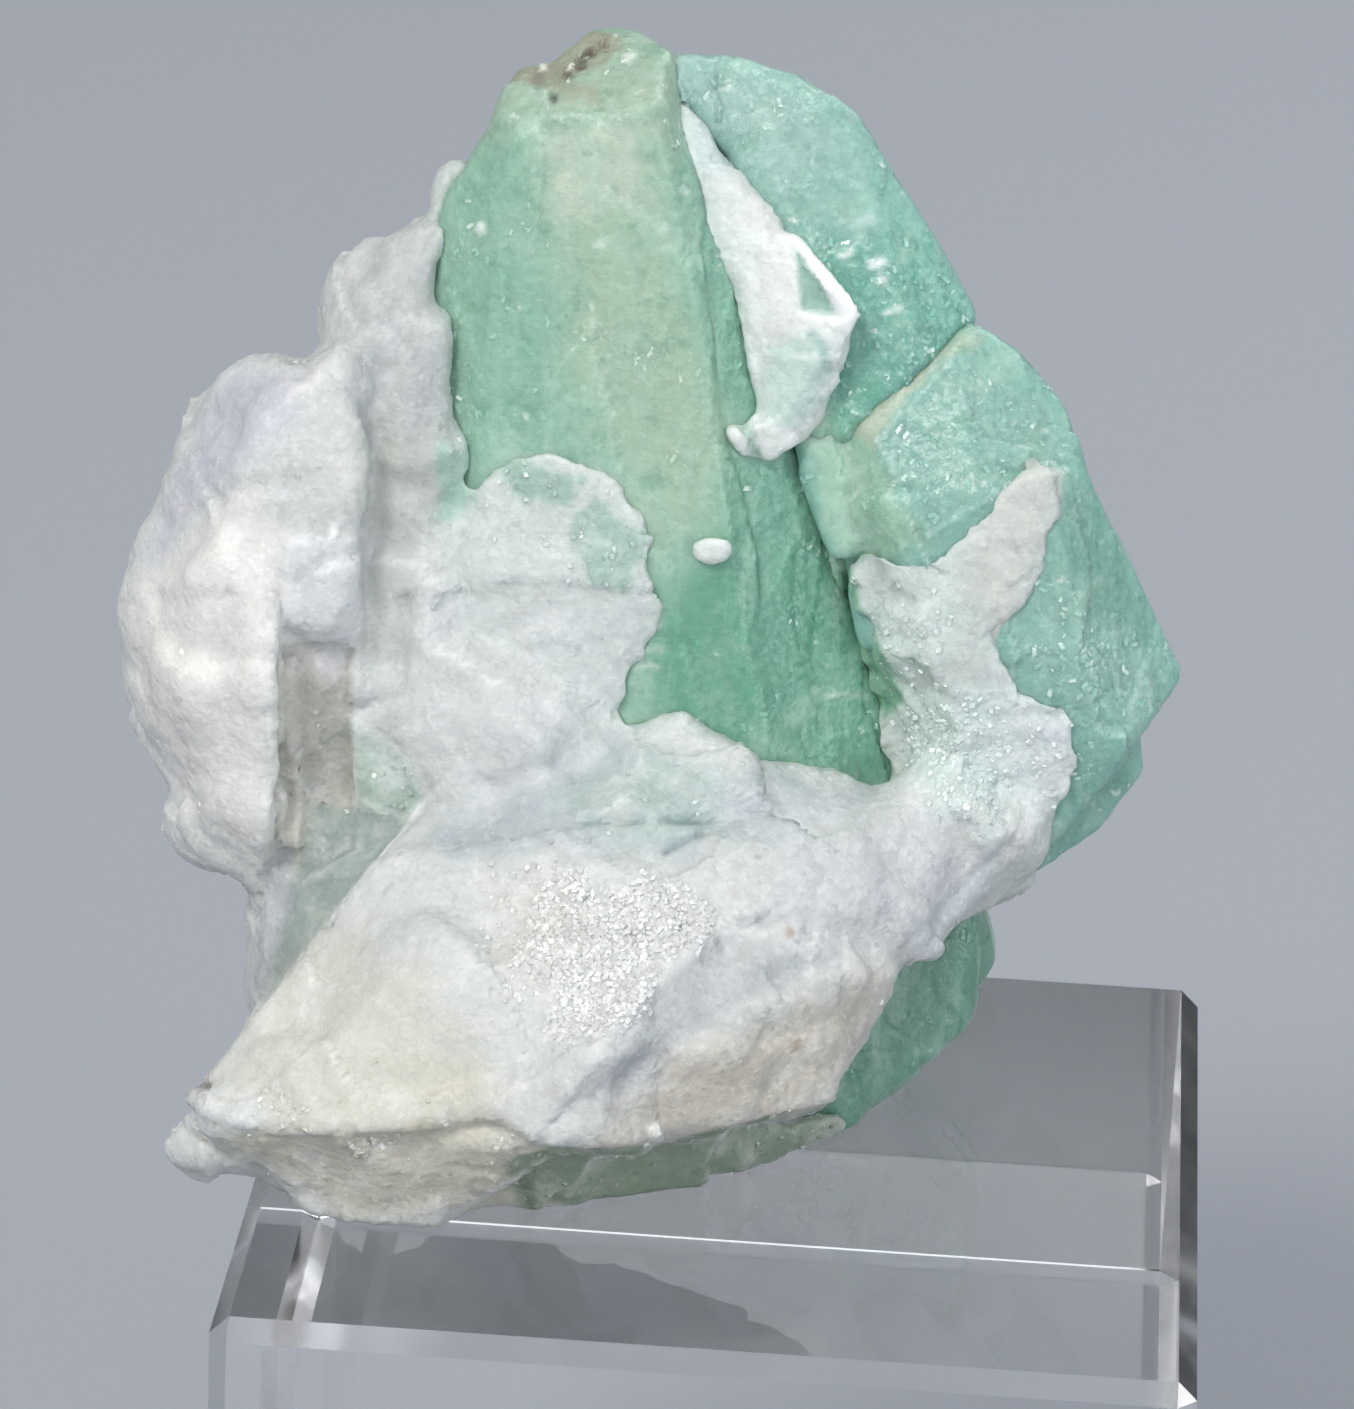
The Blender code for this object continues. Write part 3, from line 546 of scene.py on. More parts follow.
# Calcite with quartz, broken: soft white, light sinks in a millimetre or so, and its grains glint.
CALCITE = MineralFinish(
    name="broken calcite and quartz", ior=1.56, roughness=0.52, depth=0.55, depth_colour=(1.0, 0.95, 0.9),
    sink=0.45, through=0.0, veil="#EDEDEC", veil_share=0.35, deep="#BFBDB6", deep_share=0.3, cloud_size=2.6,
    grain=0.2, grain_tone=0.05, relief=0.26, sugar_relief=0.6,
)

# Beryl full of fine veils: waxy, milky green, with pale streaks along the prism and bright flecks.
BERYL = MineralFinish(
    name="cloudy pale green beryl", ior=1.58, roughness=0.36, depth=1.3, depth_colour=(0.6, 1.0, 0.82),
    sink=0.5, through=0.1, veil="#B9D6C4", veil_share=0.45, deep="#4F9278", deep_share=0.4, cloud_size=2.2,
    grain=0.22, grain_tone=0.06, relief=0.2, sugar_relief=0.6, fleck_share=0.6,
    streak=(1.5, 1.5, 0.2), lean=(0.0, math.radians(14.0), 0.0), streak_share=0.3,
)

# Single grains of calcite and flakes of beryl: nearly white, with clean faces that catch the light.
CLEAN_GRAINS = MineralFinish(
    name="clean calcite grains", ior=1.6, roughness=0.2, depth=0.6, depth_colour=(1.0, 0.98, 0.96),
    sink=0.0, through=0.0, veil="#FFFFFF", veil_share=0.9, deep="#E4E6E4", deep_share=0.1, cloud_size=0.5,
    grain=0.5, grain_tone=0.05, relief=0.0, sugar_relief=0.0,
)
CLEAN_CHIPS = MineralFinish(
    name="clean beryl chips", ior=1.58, roughness=0.18, depth=0.6, depth_colour=(0.8, 1.0, 0.9),
    sink=0.0, through=0.0, veil="#F2FAF5", veil_share=0.8, deep="#B4D6C8", deep_share=0.2, cloud_size=0.5,
    grain=0.5, grain_tone=0.05, relief=0.0, sugar_relief=0.0,
)

ACRYLIC = AcrylicFinish(name="clear cast acrylic", roughness=0.0, rubbed=0.02)
SAWN_EDGE = AcrylicFinish(name="scraped acrylic edge", roughness=0.12, rubbed=0.3)


@dataclass
class Skin:
    """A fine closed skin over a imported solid, as arrays of places in millimetres."""

    mesh: bpy.types.Mesh
    points: np.ndarray = field(init=False)
    normals: np.ndarray = field(init=False)
    tint: np.ndarray = field(init=False)
    sugar: np.ndarray = field(init=False)

    def __post_init__(self) -> None:
        self.read()
        self.tint = np.ones((len(self.points), 3))
        self.sugar = np.zeros(len(self.points))

    def read(self) -> None:
        """Reads the mesh's places and directions."""
        count = len(self.mesh.vertices)
        flat = np.empty(count * 3)
        self.mesh.vertices.foreach_get("co", flat)
        self.points = flat.reshape(-1, 3) / MM
        ways = np.empty(count * 3, np.float32)
        self.mesh.vertex_normals.foreach_get("vector", ways)
        self.normals = ways.reshape(-1, 3).astype(float)

    def write(self) -> None:
        """Puts the places back in the mesh."""
        self.mesh.vertices.foreach_set("co", (self.points * MM).ravel())
        self.mesh.update()

    def move(self, lifts: np.ndarray) -> None:
        """Moves the skin along its own directions, and reads the directions anew."""
        self.points = self.points + self.normals * lifts[:, None]
        self.write()
        self.read()

    def edges(self) -> np.ndarray:
        """Gives the two ends of every edge."""
        ends = np.empty(len(self.mesh.edges) * 2, np.int32)
        self.mesh.edges.foreach_get("vertices", ends)
        return ends.reshape(-1, 2)

    def bulge(self) -> np.ndarray:
        """Tells how far each place stands out of its neighbours, in millimetres: above 0 on an edge."""
        ends = self.edges()
        total = np.zeros_like(self.points)
        count = np.zeros(len(self.points))
        for a, b in ((ends[:, 0], ends[:, 1]), (ends[:, 1], ends[:, 0])):
            np.add.at(total, a, self.points[b])
            np.add.at(count, a, 1)
        return ((self.points - total / count[:, None]) * self.normals).sum(axis=1)

    def tree(self) -> BVHTree:
        """Makes a search tree of the skin, in millimetres."""
        faces = [tuple(face.vertices) for face in self.mesh.polygons]
        return BVHTree.FromPolygons(self.points.tolist(), faces)

    def paint(self, colour: tuple[float, float, float], share: np.ndarray) -> None:
        """Mixes a colour into the tint."""
        self.tint += (np.array(colour) - self.tint) * share[:, None]

    def store(self) -> None:
        """Keeps the tint and the sugar on the mesh for the material to read."""
        colour = self.mesh.color_attributes.new("tint", "FLOAT_COLOR", "POINT")
        rgba = np.ones((len(self.points), 4), np.float32)
        rgba[:, :3] = np.clip(self.tint, 0.0, 1.0)
        colour.data.foreach_set("color", rgba.ravel())
        grain = self.mesh.attributes.new("sugar", "FLOAT", "POINT")
        grain.data.foreach_set("value", np.clip(self.sugar, 0.0, 1.0).astype(np.float32))


def fine_skin(
    source: bpy.types.Object, lumps: tuple[Lump, ...], name: str, grain: float, grow: float, soften: int,
) -> bpy.types.Object:
    """Lays a fine, even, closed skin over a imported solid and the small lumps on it.

    Args:
        source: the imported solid.
        lumps: the small lumps that grow from it.
        name: the new piece's name.
        grain: the width of the skin's faces, in millimetres.
        grow: how far the skin stands out of the solid, in millimetres.
        soften: how many times the skin is relaxed.

    Returns:
        The new object, at the origin, with a plain mesh.
    """
    shape = bmesh.new()
    shape.from_mesh(source.data)
    bmesh.ops.remove_doubles(shape, verts=shape.verts, dist=0.00001)
    for lump in lumps:
        lump.add(shape)
    mesh = bpy.data.meshes.new(name)
    shape.to_mesh(mesh)
    shape.free()
    made = bpy.data.objects.new(name, mesh)
    bpy.context.scene.collection.objects.link(made)
    first = made.modifiers.new("skin", "REMESH")
    first.mode = "VOXEL"
    first.voxel_size = grain * MM
    if soften:
        relax = made.modifiers.new("relax", "SMOOTH")
        relax.factor = 0.5
        relax.iterations = soften
    if grow:
        swell = made.modifiers.new("swell", "DISPLACE")
        swell.strength = grow * MM
        swell.mid_level = 0.0
        again = made.modifiers.new("again", "REMESH")
        again.mode = "VOXEL"
        again.voxel_size = grain * MM
        even = made.modifiers.new("even", "SMOOTH")
        even.factor = 0.5
        even.iterations = 2
    bpy.context.view_layer.update()
    plain = bpy.data.meshes.new_from_object(made.evaluated_get(bpy.context.evaluated_depsgraph_get()))
    made.modifiers.clear()
    made.data = plain
    bpy.data.meshes.remove(mesh)
    plain.name = name
    plain.shade_smooth()
    return made


def settle(skin: Skin) -> None:
    """Brings the lowest part of a skin down on the cube, and keeps the rest of it above the cube's top."""
    reach = 2.0
    near = smooth(BLOCK_SIDE + CONTACT_GAP + reach, BLOCK_SIDE + CONTACT_GAP, skin.points[:, 2])
    skin.points[:, 2] -= near * CONTACT_GAP
    over = (np.abs(skin.points[:, :2]) < BLOCK_SIDE / 2 + 1.0).all(axis=1)
    skin.points[:, 2] = np.maximum(skin.points[:, 2], np.where(over, BLOCK_SIDE + 0.01, -1e9))


def keep_inside(skin: Skin) -> None:
    """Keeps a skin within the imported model's box."""
    low, high = (np.array(corner) / MM for corner in CAD_BOX)
    skin.points = np.clip(skin.points, low, high)


LEFT_MASS = {
    # Painted shade: a bluish tint where the upper left faces take only sky light.
    "sky-shaded left side": Area(
        ((205, 420), (235, 368), (300, 372), (290, 420), (240, 470), (200, 500), (160, 560), (145, 560)),
        "#BDBECF", 0.55, feather=16, calm=0.6,
    ),
    # Painted shade: the shoulder is greyed where it lies in shadow.
    "shoulder": Area(
        ((340, 270), (440, 210), (445, 440), (400, 480), (370, 440), (345, 350)), "#B3B7B6", 0.8, ribs=0.02, calm=0.6,
    ),
    # Painted light: a warm cream where the left side faces the sun.
    "sunlit left side": Area(
        ((120, 600), (165, 575), (250, 480), (285, 545), (283, 640), (272, 760), (262, 860), (190, 810), (130, 700)),
        "#E4E3DF", 0.9, feather=26, calm=0.75,
    ),
    "upright streaks": Area(
        ((285, 380), (375, 380), (380, 470), (355, 530), (290, 530)), "#D2D3D1", 0.4, ribs=0.03, calm=0.7,
    ),
    # Painted shade: the strip between the left mass and the crystal is greyed where it lies in shadow.
    "shaded strip beside the crystal": Area(
        ((370, 440), (440, 430), (446, 500), (410, 560), (405, 620), (380, 660), (360, 650), (358, 500)),
        "#B8BCB5", 0.7, raised=0.1,
    ),
    # Painted shade: the trough is darkened beige where it is recessed and turned from the light; it is also cut in.
    "shaded trough": Area(
        ((277, 645), (330, 640), (354, 650), (354, 850), (300, 880), (276, 865)), "#ABABA0", 0.85,
        feather=3, ragged=1.5, raised=-0.3, ribs=0.04,
    ),
    "rib in the trough": Area(
        ((281, 660), (298, 655), (300, 850), (281, 850)), "#CCCAC0", 0.8, feather=2.5, ragged=1, raised=0.22,
    ),
    "square block": Area(
        ((286, 538), (356, 536), (359, 628), (330, 636), (284, 628)), "#D8DADC", 0.7,
        feather=5, ragged=2, raised=0.22,
    ),
    "lobe under the block": Area(
        ((312, 634), (352, 634), (347, 680), (332, 694), (314, 668)), "#CDCED4", 0.6, feather=8, raised=0.15,
    ),
    "clear pane": Area(
        ((318, 806), (366, 806), (402, 823), (424, 806), (340, 905), (262, 1005), (268, 950), (292, 880)),
        "#8F9E98", 0.9, feather=4, ragged=2, calm=0.8,
    ),
    "cool foot": Area(((266, 860), (285, 850), (292, 900), (266, 1005), (252, 980)), "#B4B7BC", 0.7, feather=4),
    "green nodule": Area(
        ((353, 722), (355, 783), (368, 809), (406, 821), (424, 796), (414, 770), (381, 735)), "#A9BFB2", 0.85,
        feather=3, ragged=2, raised=0.12, sugar=0.15,
    ),
}

CRUST = {
    "whole crust over the long emerald": Area(
        ((470, 440), (600, 440), (690, 560), (680, 620), (620, 760), (560, 700), (440, 640), (430, 520)),
        thin=0.9, feather=12, ragged=4, calm=0.6,
    ),
    "mint tab": Area(((448, 528), (478, 498), (470, 455), (440, 440), (435, 520)), "#9FC2B2", 0.8, feather=6),
    "upper slab": Area(
        ((480, 480), (510, 454), (592, 459), (641, 512), (666, 567), (650, 591), (560, 585), (500, 583), (462, 560)),
        "#CFD8D4", 0.6, feather=6, sugar=0.12,
    ),
    "green mottle": Area(
        ((497, 462), (545, 455), (582, 482), (568, 508), (520, 503)), "#98B8AA", 0.85, feather=5, ragged=16, sugar=0.2,
    ),
    "lower mottle": Area(
        ((570, 518), (600, 500), (645, 540), (630, 588), (592, 590), (578, 556)), "#9CBBAE", 0.8, feather=5,
        ragged=14, sugar=0.25,
    ),
    "lower slab": Area(
        ((410, 620), (480, 590), (640, 600), (640, 650), (618, 700), (560, 790), (440, 790), (400, 720)),
        "#CDD1D1", 0.5, calm=0.5,
    ),
    # Partly the stone's bluish translucence and partly painted shade: bluish grey where the upper faces take only sky
    # light.
    "brow": Area(
        ((425, 825), (520, 790), (640, 735), (730, 775), (900, 800), (700, 850), (560, 850), (440, 860)),
        "#A8B3B9", 0.7, feather=22, ragged=16,
    ),
    "brow's clear patch": Area(
        ((560, 800), (640, 745), (720, 775), (720, 835), (600, 840)), "#ADC2BA", 0.6, feather=14, ragged=16, sugar=0.08,
    ),
}

FRONT_MASS = {
    "cream side": Area(
        ((215, 1075), (330, 930), (430, 980), (500, 1080), (480, 1120), (300, 1140)), "#CBCABD", 0.7,
        feather=34, ragged=20,
    ),
    "cream foot": Area(((330, 1060), (480, 1060), (500, 1115), (350, 1135)), "#C4C1B2", 0.6, feather=20, ragged=16),
    "right lobe": Area(
        ((780, 850), (900, 830), (980, 850), (960, 900), (890, 950), (800, 930)), "#C6CACE", 0.6, feather=40,
        raised=0.12, calm=0.8,
    ),
    # Painted shade: grey on the lobe's side that faces right and down.
    "shaded turned side of the lobe": Area(
        ((990, 850), (992, 880), (940, 960), (895, 964), (885, 955), (940, 900)), "#C4CBCE", 0.8, feather=5,
    ),
    # Painted shade: grey in the valley between the sugar patch and the right lobe, which is also sunk.
    "shaded smooth hollow": Area(
        ((722, 938), (830, 960), (740, 1010), (650, 1080), (590, 1100), (622, 1050), (660, 1000)), "#A9AFB2", 0.75,
        feather=14, ragged=4, raised=-0.3, calm=0.7,
    ),
    # A tan tone along the lower right edge of the front mass.
    "tan lower right": Area(
        ((690, 1050), (770, 1020), (850, 985), (890, 955), (895, 985), (860, 1045), (800, 1110), (700, 1130), (590, 1145)),
        "#C9BEA9", 0.6, feather=34, ragged=18, calm=0.5,
    ),
    "sugar patch": Area(
        ((545, 878), (655, 876), (715, 905), (745, 925), (690, 960), (645, 1000), (612, 1048), (575, 1050),
         (540, 1035), (550, 1000), (515, 935)),
        "#DDDFDC", 0.8, feather=6, ragged=16, raised=0.1, sugar=1.0,
    ),
    "thin sugar": Area(
        ((470, 880), (560, 860), (600, 900), (560, 1000), (500, 1000)), "#D6D6D0", 0.5, feather=24, ragged=24,
        sugar=0.3,
    ),
    # Painted shade: grey-beige on the underside beneath the lip.
    "shaded heel under the lip": Area(
        ((200, 1135), (500, 1120), (560, 1150), (560, 1195), (350, 1210), (260, 1170)), "#C8C3B0", 0.7, feather=9,
        raised=-0.15,
    ),
    "glitter over the lip": Area(
        ((255, 1078), (285, 1085), (320, 1128), (296, 1126), (262, 1100)), "#D8D6C8", 0.4, feather=6, sugar=0.6,
    ),
    "glitter of the heel": Area(((350, 1140), (400, 1140), (398, 1154), (352, 1154)), "#DDDCD2", 0.5, feather=5, sugar=0.9),
    "glitter by the green": Area(
        ((487, 1134), (526, 1136), (520, 1156), (490, 1156)), "#D5DBD2", 0.5, feather=5, sugar=0.8,
    ),
    "green heel": Area(
        ((500, 1160), (560, 1149), (640, 1146), (745, 1124), (802, 1112), (870, 1095), (870, 1190), (560, 1215),
         (520, 1200)),
        "#869983", 0.95, feather=6, sugar=0.12,
    ),
}

SIDE_CRUST = {
    "whole crust": Area(
        ((830, 540), (940, 540), (1040, 440), (1090, 470), (1060, 620), (1110, 720), (1070, 850), (960, 800),
         (880, 760)),
        thin=0.6, feather=10, ragged=4, calm=0.6,
    ),
    "arm": Area(
        ((985, 500), (1050, 465), (1065, 490), (1040, 550), (1010, 630), (960, 590)), "#CDD0C8", 0.8,
    ),
    "green rim": Area(
        ((849, 560), (867, 600), (914, 595), (947, 560), (960, 620), (900, 700), (880, 650)), "#D2E2DA", 0.6,
        sugar=0.3,
    ),
    "clear foot": Area(
        ((890, 700), (1000, 690), (1020, 780), (985, 826), (938, 805), (905, 770)), "#D4E6E0", 0.7, ragged=16,
        sugar=0.45,
    ),
    "white foot": Area(
        ((995, 672), (1054, 713), (1080, 718), (1075, 789), (1040, 825), (985, 760)), "#E0E8E8", 0.7, sugar=0.2,
    ),
}

ROCK_MARKS = {
    "corner of the left mass": Mark(((345, 340), (384, 406), (372, 500)), 0.12, 60, Form.LEDGE),
    "edge over the trough": Mark(((276, 640), (275, 760), (263, 885)), 0.3, 80, Form.LEDGE, 3.0),
    "step of the left mass": Mark(((300, 470), (240, 478), (205, 500)), 0.12, 60, Form.LEDGE, 6.0),
    "notch of the left mass": Mark(((205, 590), (165, 592), (124, 600)), 0.15, 50, Form.LEDGE, 6.0),
    "crack of the crust": Mark(((500, 584), (560, 583), (600, 590), (660, 592)), -0.18, 4),
    "slab under the crack": Mark(((660, 596), (560, 588), (474, 590)), 0.2, 60, Form.LEDGE),
    "crack beside the crust": Mark(((404, 600), (396, 690), (360, 712)), -0.35, 7),
    "crease of the front mass": Mark(((588, 940), (660, 933), (745, 924), (790, 921)), -0.22, 5),
    "edge of the sugar patch": Mark(((745, 924), (690, 962), (645, 1003), (610, 1050), (560, 1108)), 0.3, 60, Form.LEDGE),
    "filled fold": Mark(((807, 940), (807, 850), (757, 812)), 0.3, 80, Form.LEDGE, 9.0),
    # Painted shade: the cracks' dark colour stands for the shade inside them.
    "shaded upper crack": Mark(((585, 820), (640, 819)), -0.2, 5, colour="#93A5A6"),
    "shaded next crack": Mark(((668, 818), (708, 818)), -0.25, 5, colour="#7F9494"),
    "shaded slanting crack": Mark(((665, 850), (700, 832)), -0.25, 5, colour="#8B9C9E"),
    "ridge of the right lobe": Mark(((992, 850), (940, 900), (885, 960)), 0.15, 60, Form.LEDGE),
    "slanting edge of the front mass": Mark(
        ((178, 1125), (258, 1017), (424, 803)), 0.28, 70, Form.LEDGE, 3.0,
    ),
    # Painted highlight: a pale glint along the nodule's lower edge.
    "glint on the lower edge of the nodule": Mark(((366, 802), (390, 812), (408, 819), (424, 801)), 0.08, 4, colour="#D5E2DA"),
    "left edge of the nodule": Mark(((353, 722), (355, 783), (366, 802)), 0.06, 3, colour="#CBDAD1"),
    "glint of the pane": Mark(((424, 806), (420, 818)), 0.05, 5, colour="#F6FAF8"),
    "lip over the heel": Mark(
        ((830, 1100), (756, 1116), (630, 1144), (540, 1144), (493, 1119), (419, 1132), (350, 1134), (281, 1136),
         (224, 1122), (198, 1104)),
        0.28, 50, Form.LEDGE,
    ),
}

SEAM_AREAS = {
    "green seam": Area(
        ((790, 425), (880, 425), (880, 520), (868, 560), (848, 545), (858, 600), (905, 700), (885, 720),
         (830, 620), (795, 500)),
        "#7DAE92", 1.0, feather=3, ragged=1,
    ),
}

ROCK_LUMPS = (
    Lump((
        (690, 1135, -3.6), (745, 1125, -2.4), (800, 1118, -1.2), (845, 1112, -0.4), (850, 1120, 0.0),
        (800, 1140, -0.6), (745, 1160, -1.8), (700, 1170, -3.0), (700, 1150, -1.5), (840, 1118, 1.0), (760, 1128, 0.2),
    )),
    Lump((
        (180, 1154, -6.3), (183, 1160, -6.3), (206, 1160, -6.2), (194, 1126, -6.5), (214, 1106, -7.0),
        (262, 1160, -8.2), (240, 1130, -4.8), (206, 1152, -5.2),
    )),
    Lump((
        (624, 745, -0.2), (650, 727, -0.2), (685, 712, 0.0), (695, 727, -0.2), (700, 748, -0.4), (690, 775, -1.0),
        (630, 775, -0.6), (640, 730, 1.6), (690, 720, 1.6), (690, 780, 1.6),
    )),
    Lump((
        (690, 750, -0.8), (702, 748, -0.6), (722, 760, -0.9), (731, 779, -1.2), (736, 800, -1.8), (690, 800, -1.6),
        (700, 750, 1.6), (730, 790, 1.6),
    )),
    Lump((
        (690, 786, -1.3), (784, 777, 0.0), (832, 777, 1.2), (888, 800, 1.2), (880, 822, -0.6), (740, 815, -2.0),
        (770, 784, 1.8), (850, 790, 3.0), (860, 820, 3.0),
    )),
    Lump((
        (640, 598, 0.1), (662, 603, 0.3), (648, 636, 0.3), (628, 665, 0.3), (610, 640, 0.0), (662, 603, 1.5),
        (640, 650, 1.5), (625, 600, 1.5),
    )),
)

SLIVER_LUMPS = (
    Lump((
        (684, 104, 3.4), (694, 112, 3.3), (722, 156, 2.9), (702, 165, 2.8), (688, 130, 3.1), (688, 110, 4.8),
        (716, 150, 4.8), (702, 160, 4.8),
    )),
    Lump((
        (725, 427, 1.05), (744, 429, 1.15), (752, 454, 1.35), (747, 458, 1.35), (735, 445, 1.05), (740, 430, 2.3),
        (751, 455, 2.3), (728, 430, 2.0),
    )),
    Lump((
        (795, 239, 2.0), (812, 251, 1.9), (841, 290, 1.6), (858, 314, 1.5), (838, 360, 1.6), (800, 330, 1.75),
        (788, 280, 2.0), (800, 245, 3.1), (855, 314, 2.8), (836, 352, 2.6), (800, 300, 2.9),
    )),
    Lump((
        (744, 440, 1.25), (757, 458, 1.4), (771, 461, 1.5), (800, 440, 1.6), (762, 420, 1.1), (765, 455, 2.5),
        (792, 438, 2.7), (750, 445, 2.4),
    )),
    Lump((
        (693, 546, 0.3), (706, 539, 0.2), (724, 539, 0.1), (733, 548, 0.3), (726, 559, 0.2), (712, 564, 0.2),
        (698, 558, 0.3), (696, 548, 1.5), (729, 549, 1.5), (713, 560, 1.5),
    )),
)

SLIVER_NUDGES = (Nudge((722, 180), 75, (-36, 0)), Nudge((700, 122), 46, (-14, -16)))

ROCK_NUDGES = (Nudge((864, 590), 42, (-14, -2)), Nudge((172, 1176), 34, (6, -12)))

SIDE_LUMPS = (
    Lump((
        (800, 422, 2.6), (830, 424, 2.8), (850, 480, 2.5), (862, 545, 2.1), (838, 552, 1.9), (808, 480, 2.3),
        (816, 430, 5.4), (850, 500, 5.2), (850, 545, 4.8),
    )),
)

SLIVER_MARKS = {
    "edge of the blade": Mark(((794, 237), (838, 287), (860, 313)), 0.06, 4, colour="#FBFDFC"),
    "shelf of the blade": Mark(((801, 314), (840, 321)), 0.06, 4, colour="#FBFDFC"),
    # Painted shade: dark green in the gap above the tooth and in the crease of the foot.
    "shaded gap above the tooth": Mark(((742, 424), (750, 436), (757, 460)), -0.2, 4, colour="#93BBA7"),
    "shaded crease in the foot": Mark(((812, 334), (824, 350), (830, 372)), -0.08, 5, colour="#A3C4BA"),
    "left edge of the sliver": Mark(((690, 150), (702, 210), (735, 300), (756, 370)), 0.04, 4, colour="#E8F0EE"),
}

UPPER_LUMPS = (
    Lump((
        (668, 62, 4.6), (684, 61, 4.8), (704, 70, 5.3), (727, 65, 5.8), (690, 104, 4.4), (704, 120, 4.6),
        (730, 150, 4.8), (676, 82, 4.0), (700, 70, 9.0), (720, 130, 9.0), (740, 90, 9.0),
    )),
    Lump((
        (800, 392, 2.4), (850, 380, 3.3), (860, 425, 3.2), (846, 444, 3.0), (822, 444, 2.6), (806, 425, 2.2),
        (820, 400, 6.0), (850, 440, 6.0),
    )),
)

MAIN_NUDGES = (
    Nudge((850, 1145), 60, (8, -22)), Nudge((990, 1000), 45, (-10, -4)), Nudge((462, 128), 60, (20, 6)), Nudge((546, 50), 26, (5, 12)),
    Nudge((702, 105), 60, (-12, 0)),
)

ROCK_SPOTS = {
    # Painted shade: the pit's dark colour stands for the shade in the hollow.
    "pit": Spot((212, 1090), 7, "#4A423A", 0.9, -0.3),
    "glint of the block": Spot((333, 531), 5, "#FFFFFF", 1.0, 0.1),
    "pale crumb": Spot((652, 1128), 7, "#F4F4F0", 0.9, 0.25),
    "brown crumb": Spot((795, 1045), 6, "#9C8468", 0.7),
    "rusty crumb": Spot((790, 932), 5, "#A98F78", 0.6),
}

MAIN_AREAS = {
    "top": Area(
        ((470, 150), (490, 40), (560, 0), (660, 0), (700, 60), (672, 150), (600, 122), (540, 124)), "#A9BFAB", 0.85,
    ),
    "pale heart": Area(
        ((530, 120), (640, 110), (665, 180), (672, 260), (705, 330), (735, 420), (715, 520), (660, 545),
         (600, 440), (575, 380), (560, 300), (540, 220)),
        "#BDCFB4", 0.58, feather=48, ragged=30,
    ),
    "pale top of the heart": Area(
        ((535, 125), (640, 120), (650, 200), (560, 220)), "#CCDAC8", 0.75, feather=26, ragged=20,
    ),
    "sparkling left rim": Area(
        ((462, 165), (500, 180), (495, 240), (470, 300), (475, 360), (510, 410), (490, 440), (446, 440), (436, 270)),
        "#A5D0B9", 0.35, feather=12, sugar=0.25,
    ),
    "green left side": Area(
        ((470, 160), (520, 130), (545, 260), (560, 400), (580, 455), (450, 460), (445, 300)), "#94C1AA", 0.6,
        feather=24,
    ),
    "deep right side": Area(
        ((690, 170), (720, 240), (770, 390), (830, 520), (870, 640), (905, 780), (720, 770), (640, 700),
         (660, 620), (720, 540), (735, 430), (705, 330)),
        "#74B096", 0.8, feather=26,
    ),
    "deepest part": Area(
        ((720, 560), (820, 540), (880, 680), (905, 780), (730, 775), (640, 700), (670, 620)), "#64A388", 0.6,
        feather=40,
    ),
    "stain": Area(
        ((512, 80), (520, 56), (560, 40), (600, 24), (622, 30), (610, 56), (577, 74), (566, 84), (540, 88)),
        "#9C917A", 0.65, feather=5, ragged=12,
    ),
    # Painted shade: a darker green over the top's bevelled edge, to damp the highlight it catches.
    "painted shade on the bright top edge": Area(
        ((495, 111), (560, 110), (655, 106), (670, 113), (655, 127), (560, 127), (500, 125)), "#93B09C", 0.6,
        feather=6, ragged=8,
    ),
    "brown shade": Area(((556, 84), (580, 82), (604, 98), (600, 112), (578, 100), (560, 96)), "#A79F84", 0.5, feather=6),
    "spur": Area(
        ((880, 900), (1000, 900), (1000, 1000), (850, 1140), (560, 1200), (560, 1150), (800, 1110), (880, 1000)),
        "#6A9C87", 0.85,
    ),
}

MAIN_MARKS = {
    "broken line": Mark(((655, 598), (645, 632), (640, 650)), -0.15, 4),
    "dark dash": Mark(((640, 275), (641, 292)), -0.12, 4),
    "long flute": Mark(((560, 130), (585, 300), (640, 470)), -0.12, 22),
    "second flute": Mark(((690, 330), (740, 520), (800, 760)), -0.08, 18),
    "pale streak": Mark(((828, 696), (848, 694), (866, 697)), 0.03, 3, colour="#B4CCC0"),
    "upper dash": Mark(((652, 625), (658, 627)), 0.03, 3, colour="#C4D8CC"),
    "middle dash": Mark(((646, 650), (655, 648), (664, 650)), 0.03, 3, colour="#C4D8CC"),
    "lower dash": Mark(((636, 668), (648, 665), (658, 668)), 0.03, 3, colour="#C4D8CC"),
    "dark right rim": Mark(((836, 560), (872, 660), (900, 760)), -0.03, 7, colour="#4E8A6C"),
    "fine ridge": Mark(((657, 131), (700, 330), (727, 531)), 0.12, 8),
}

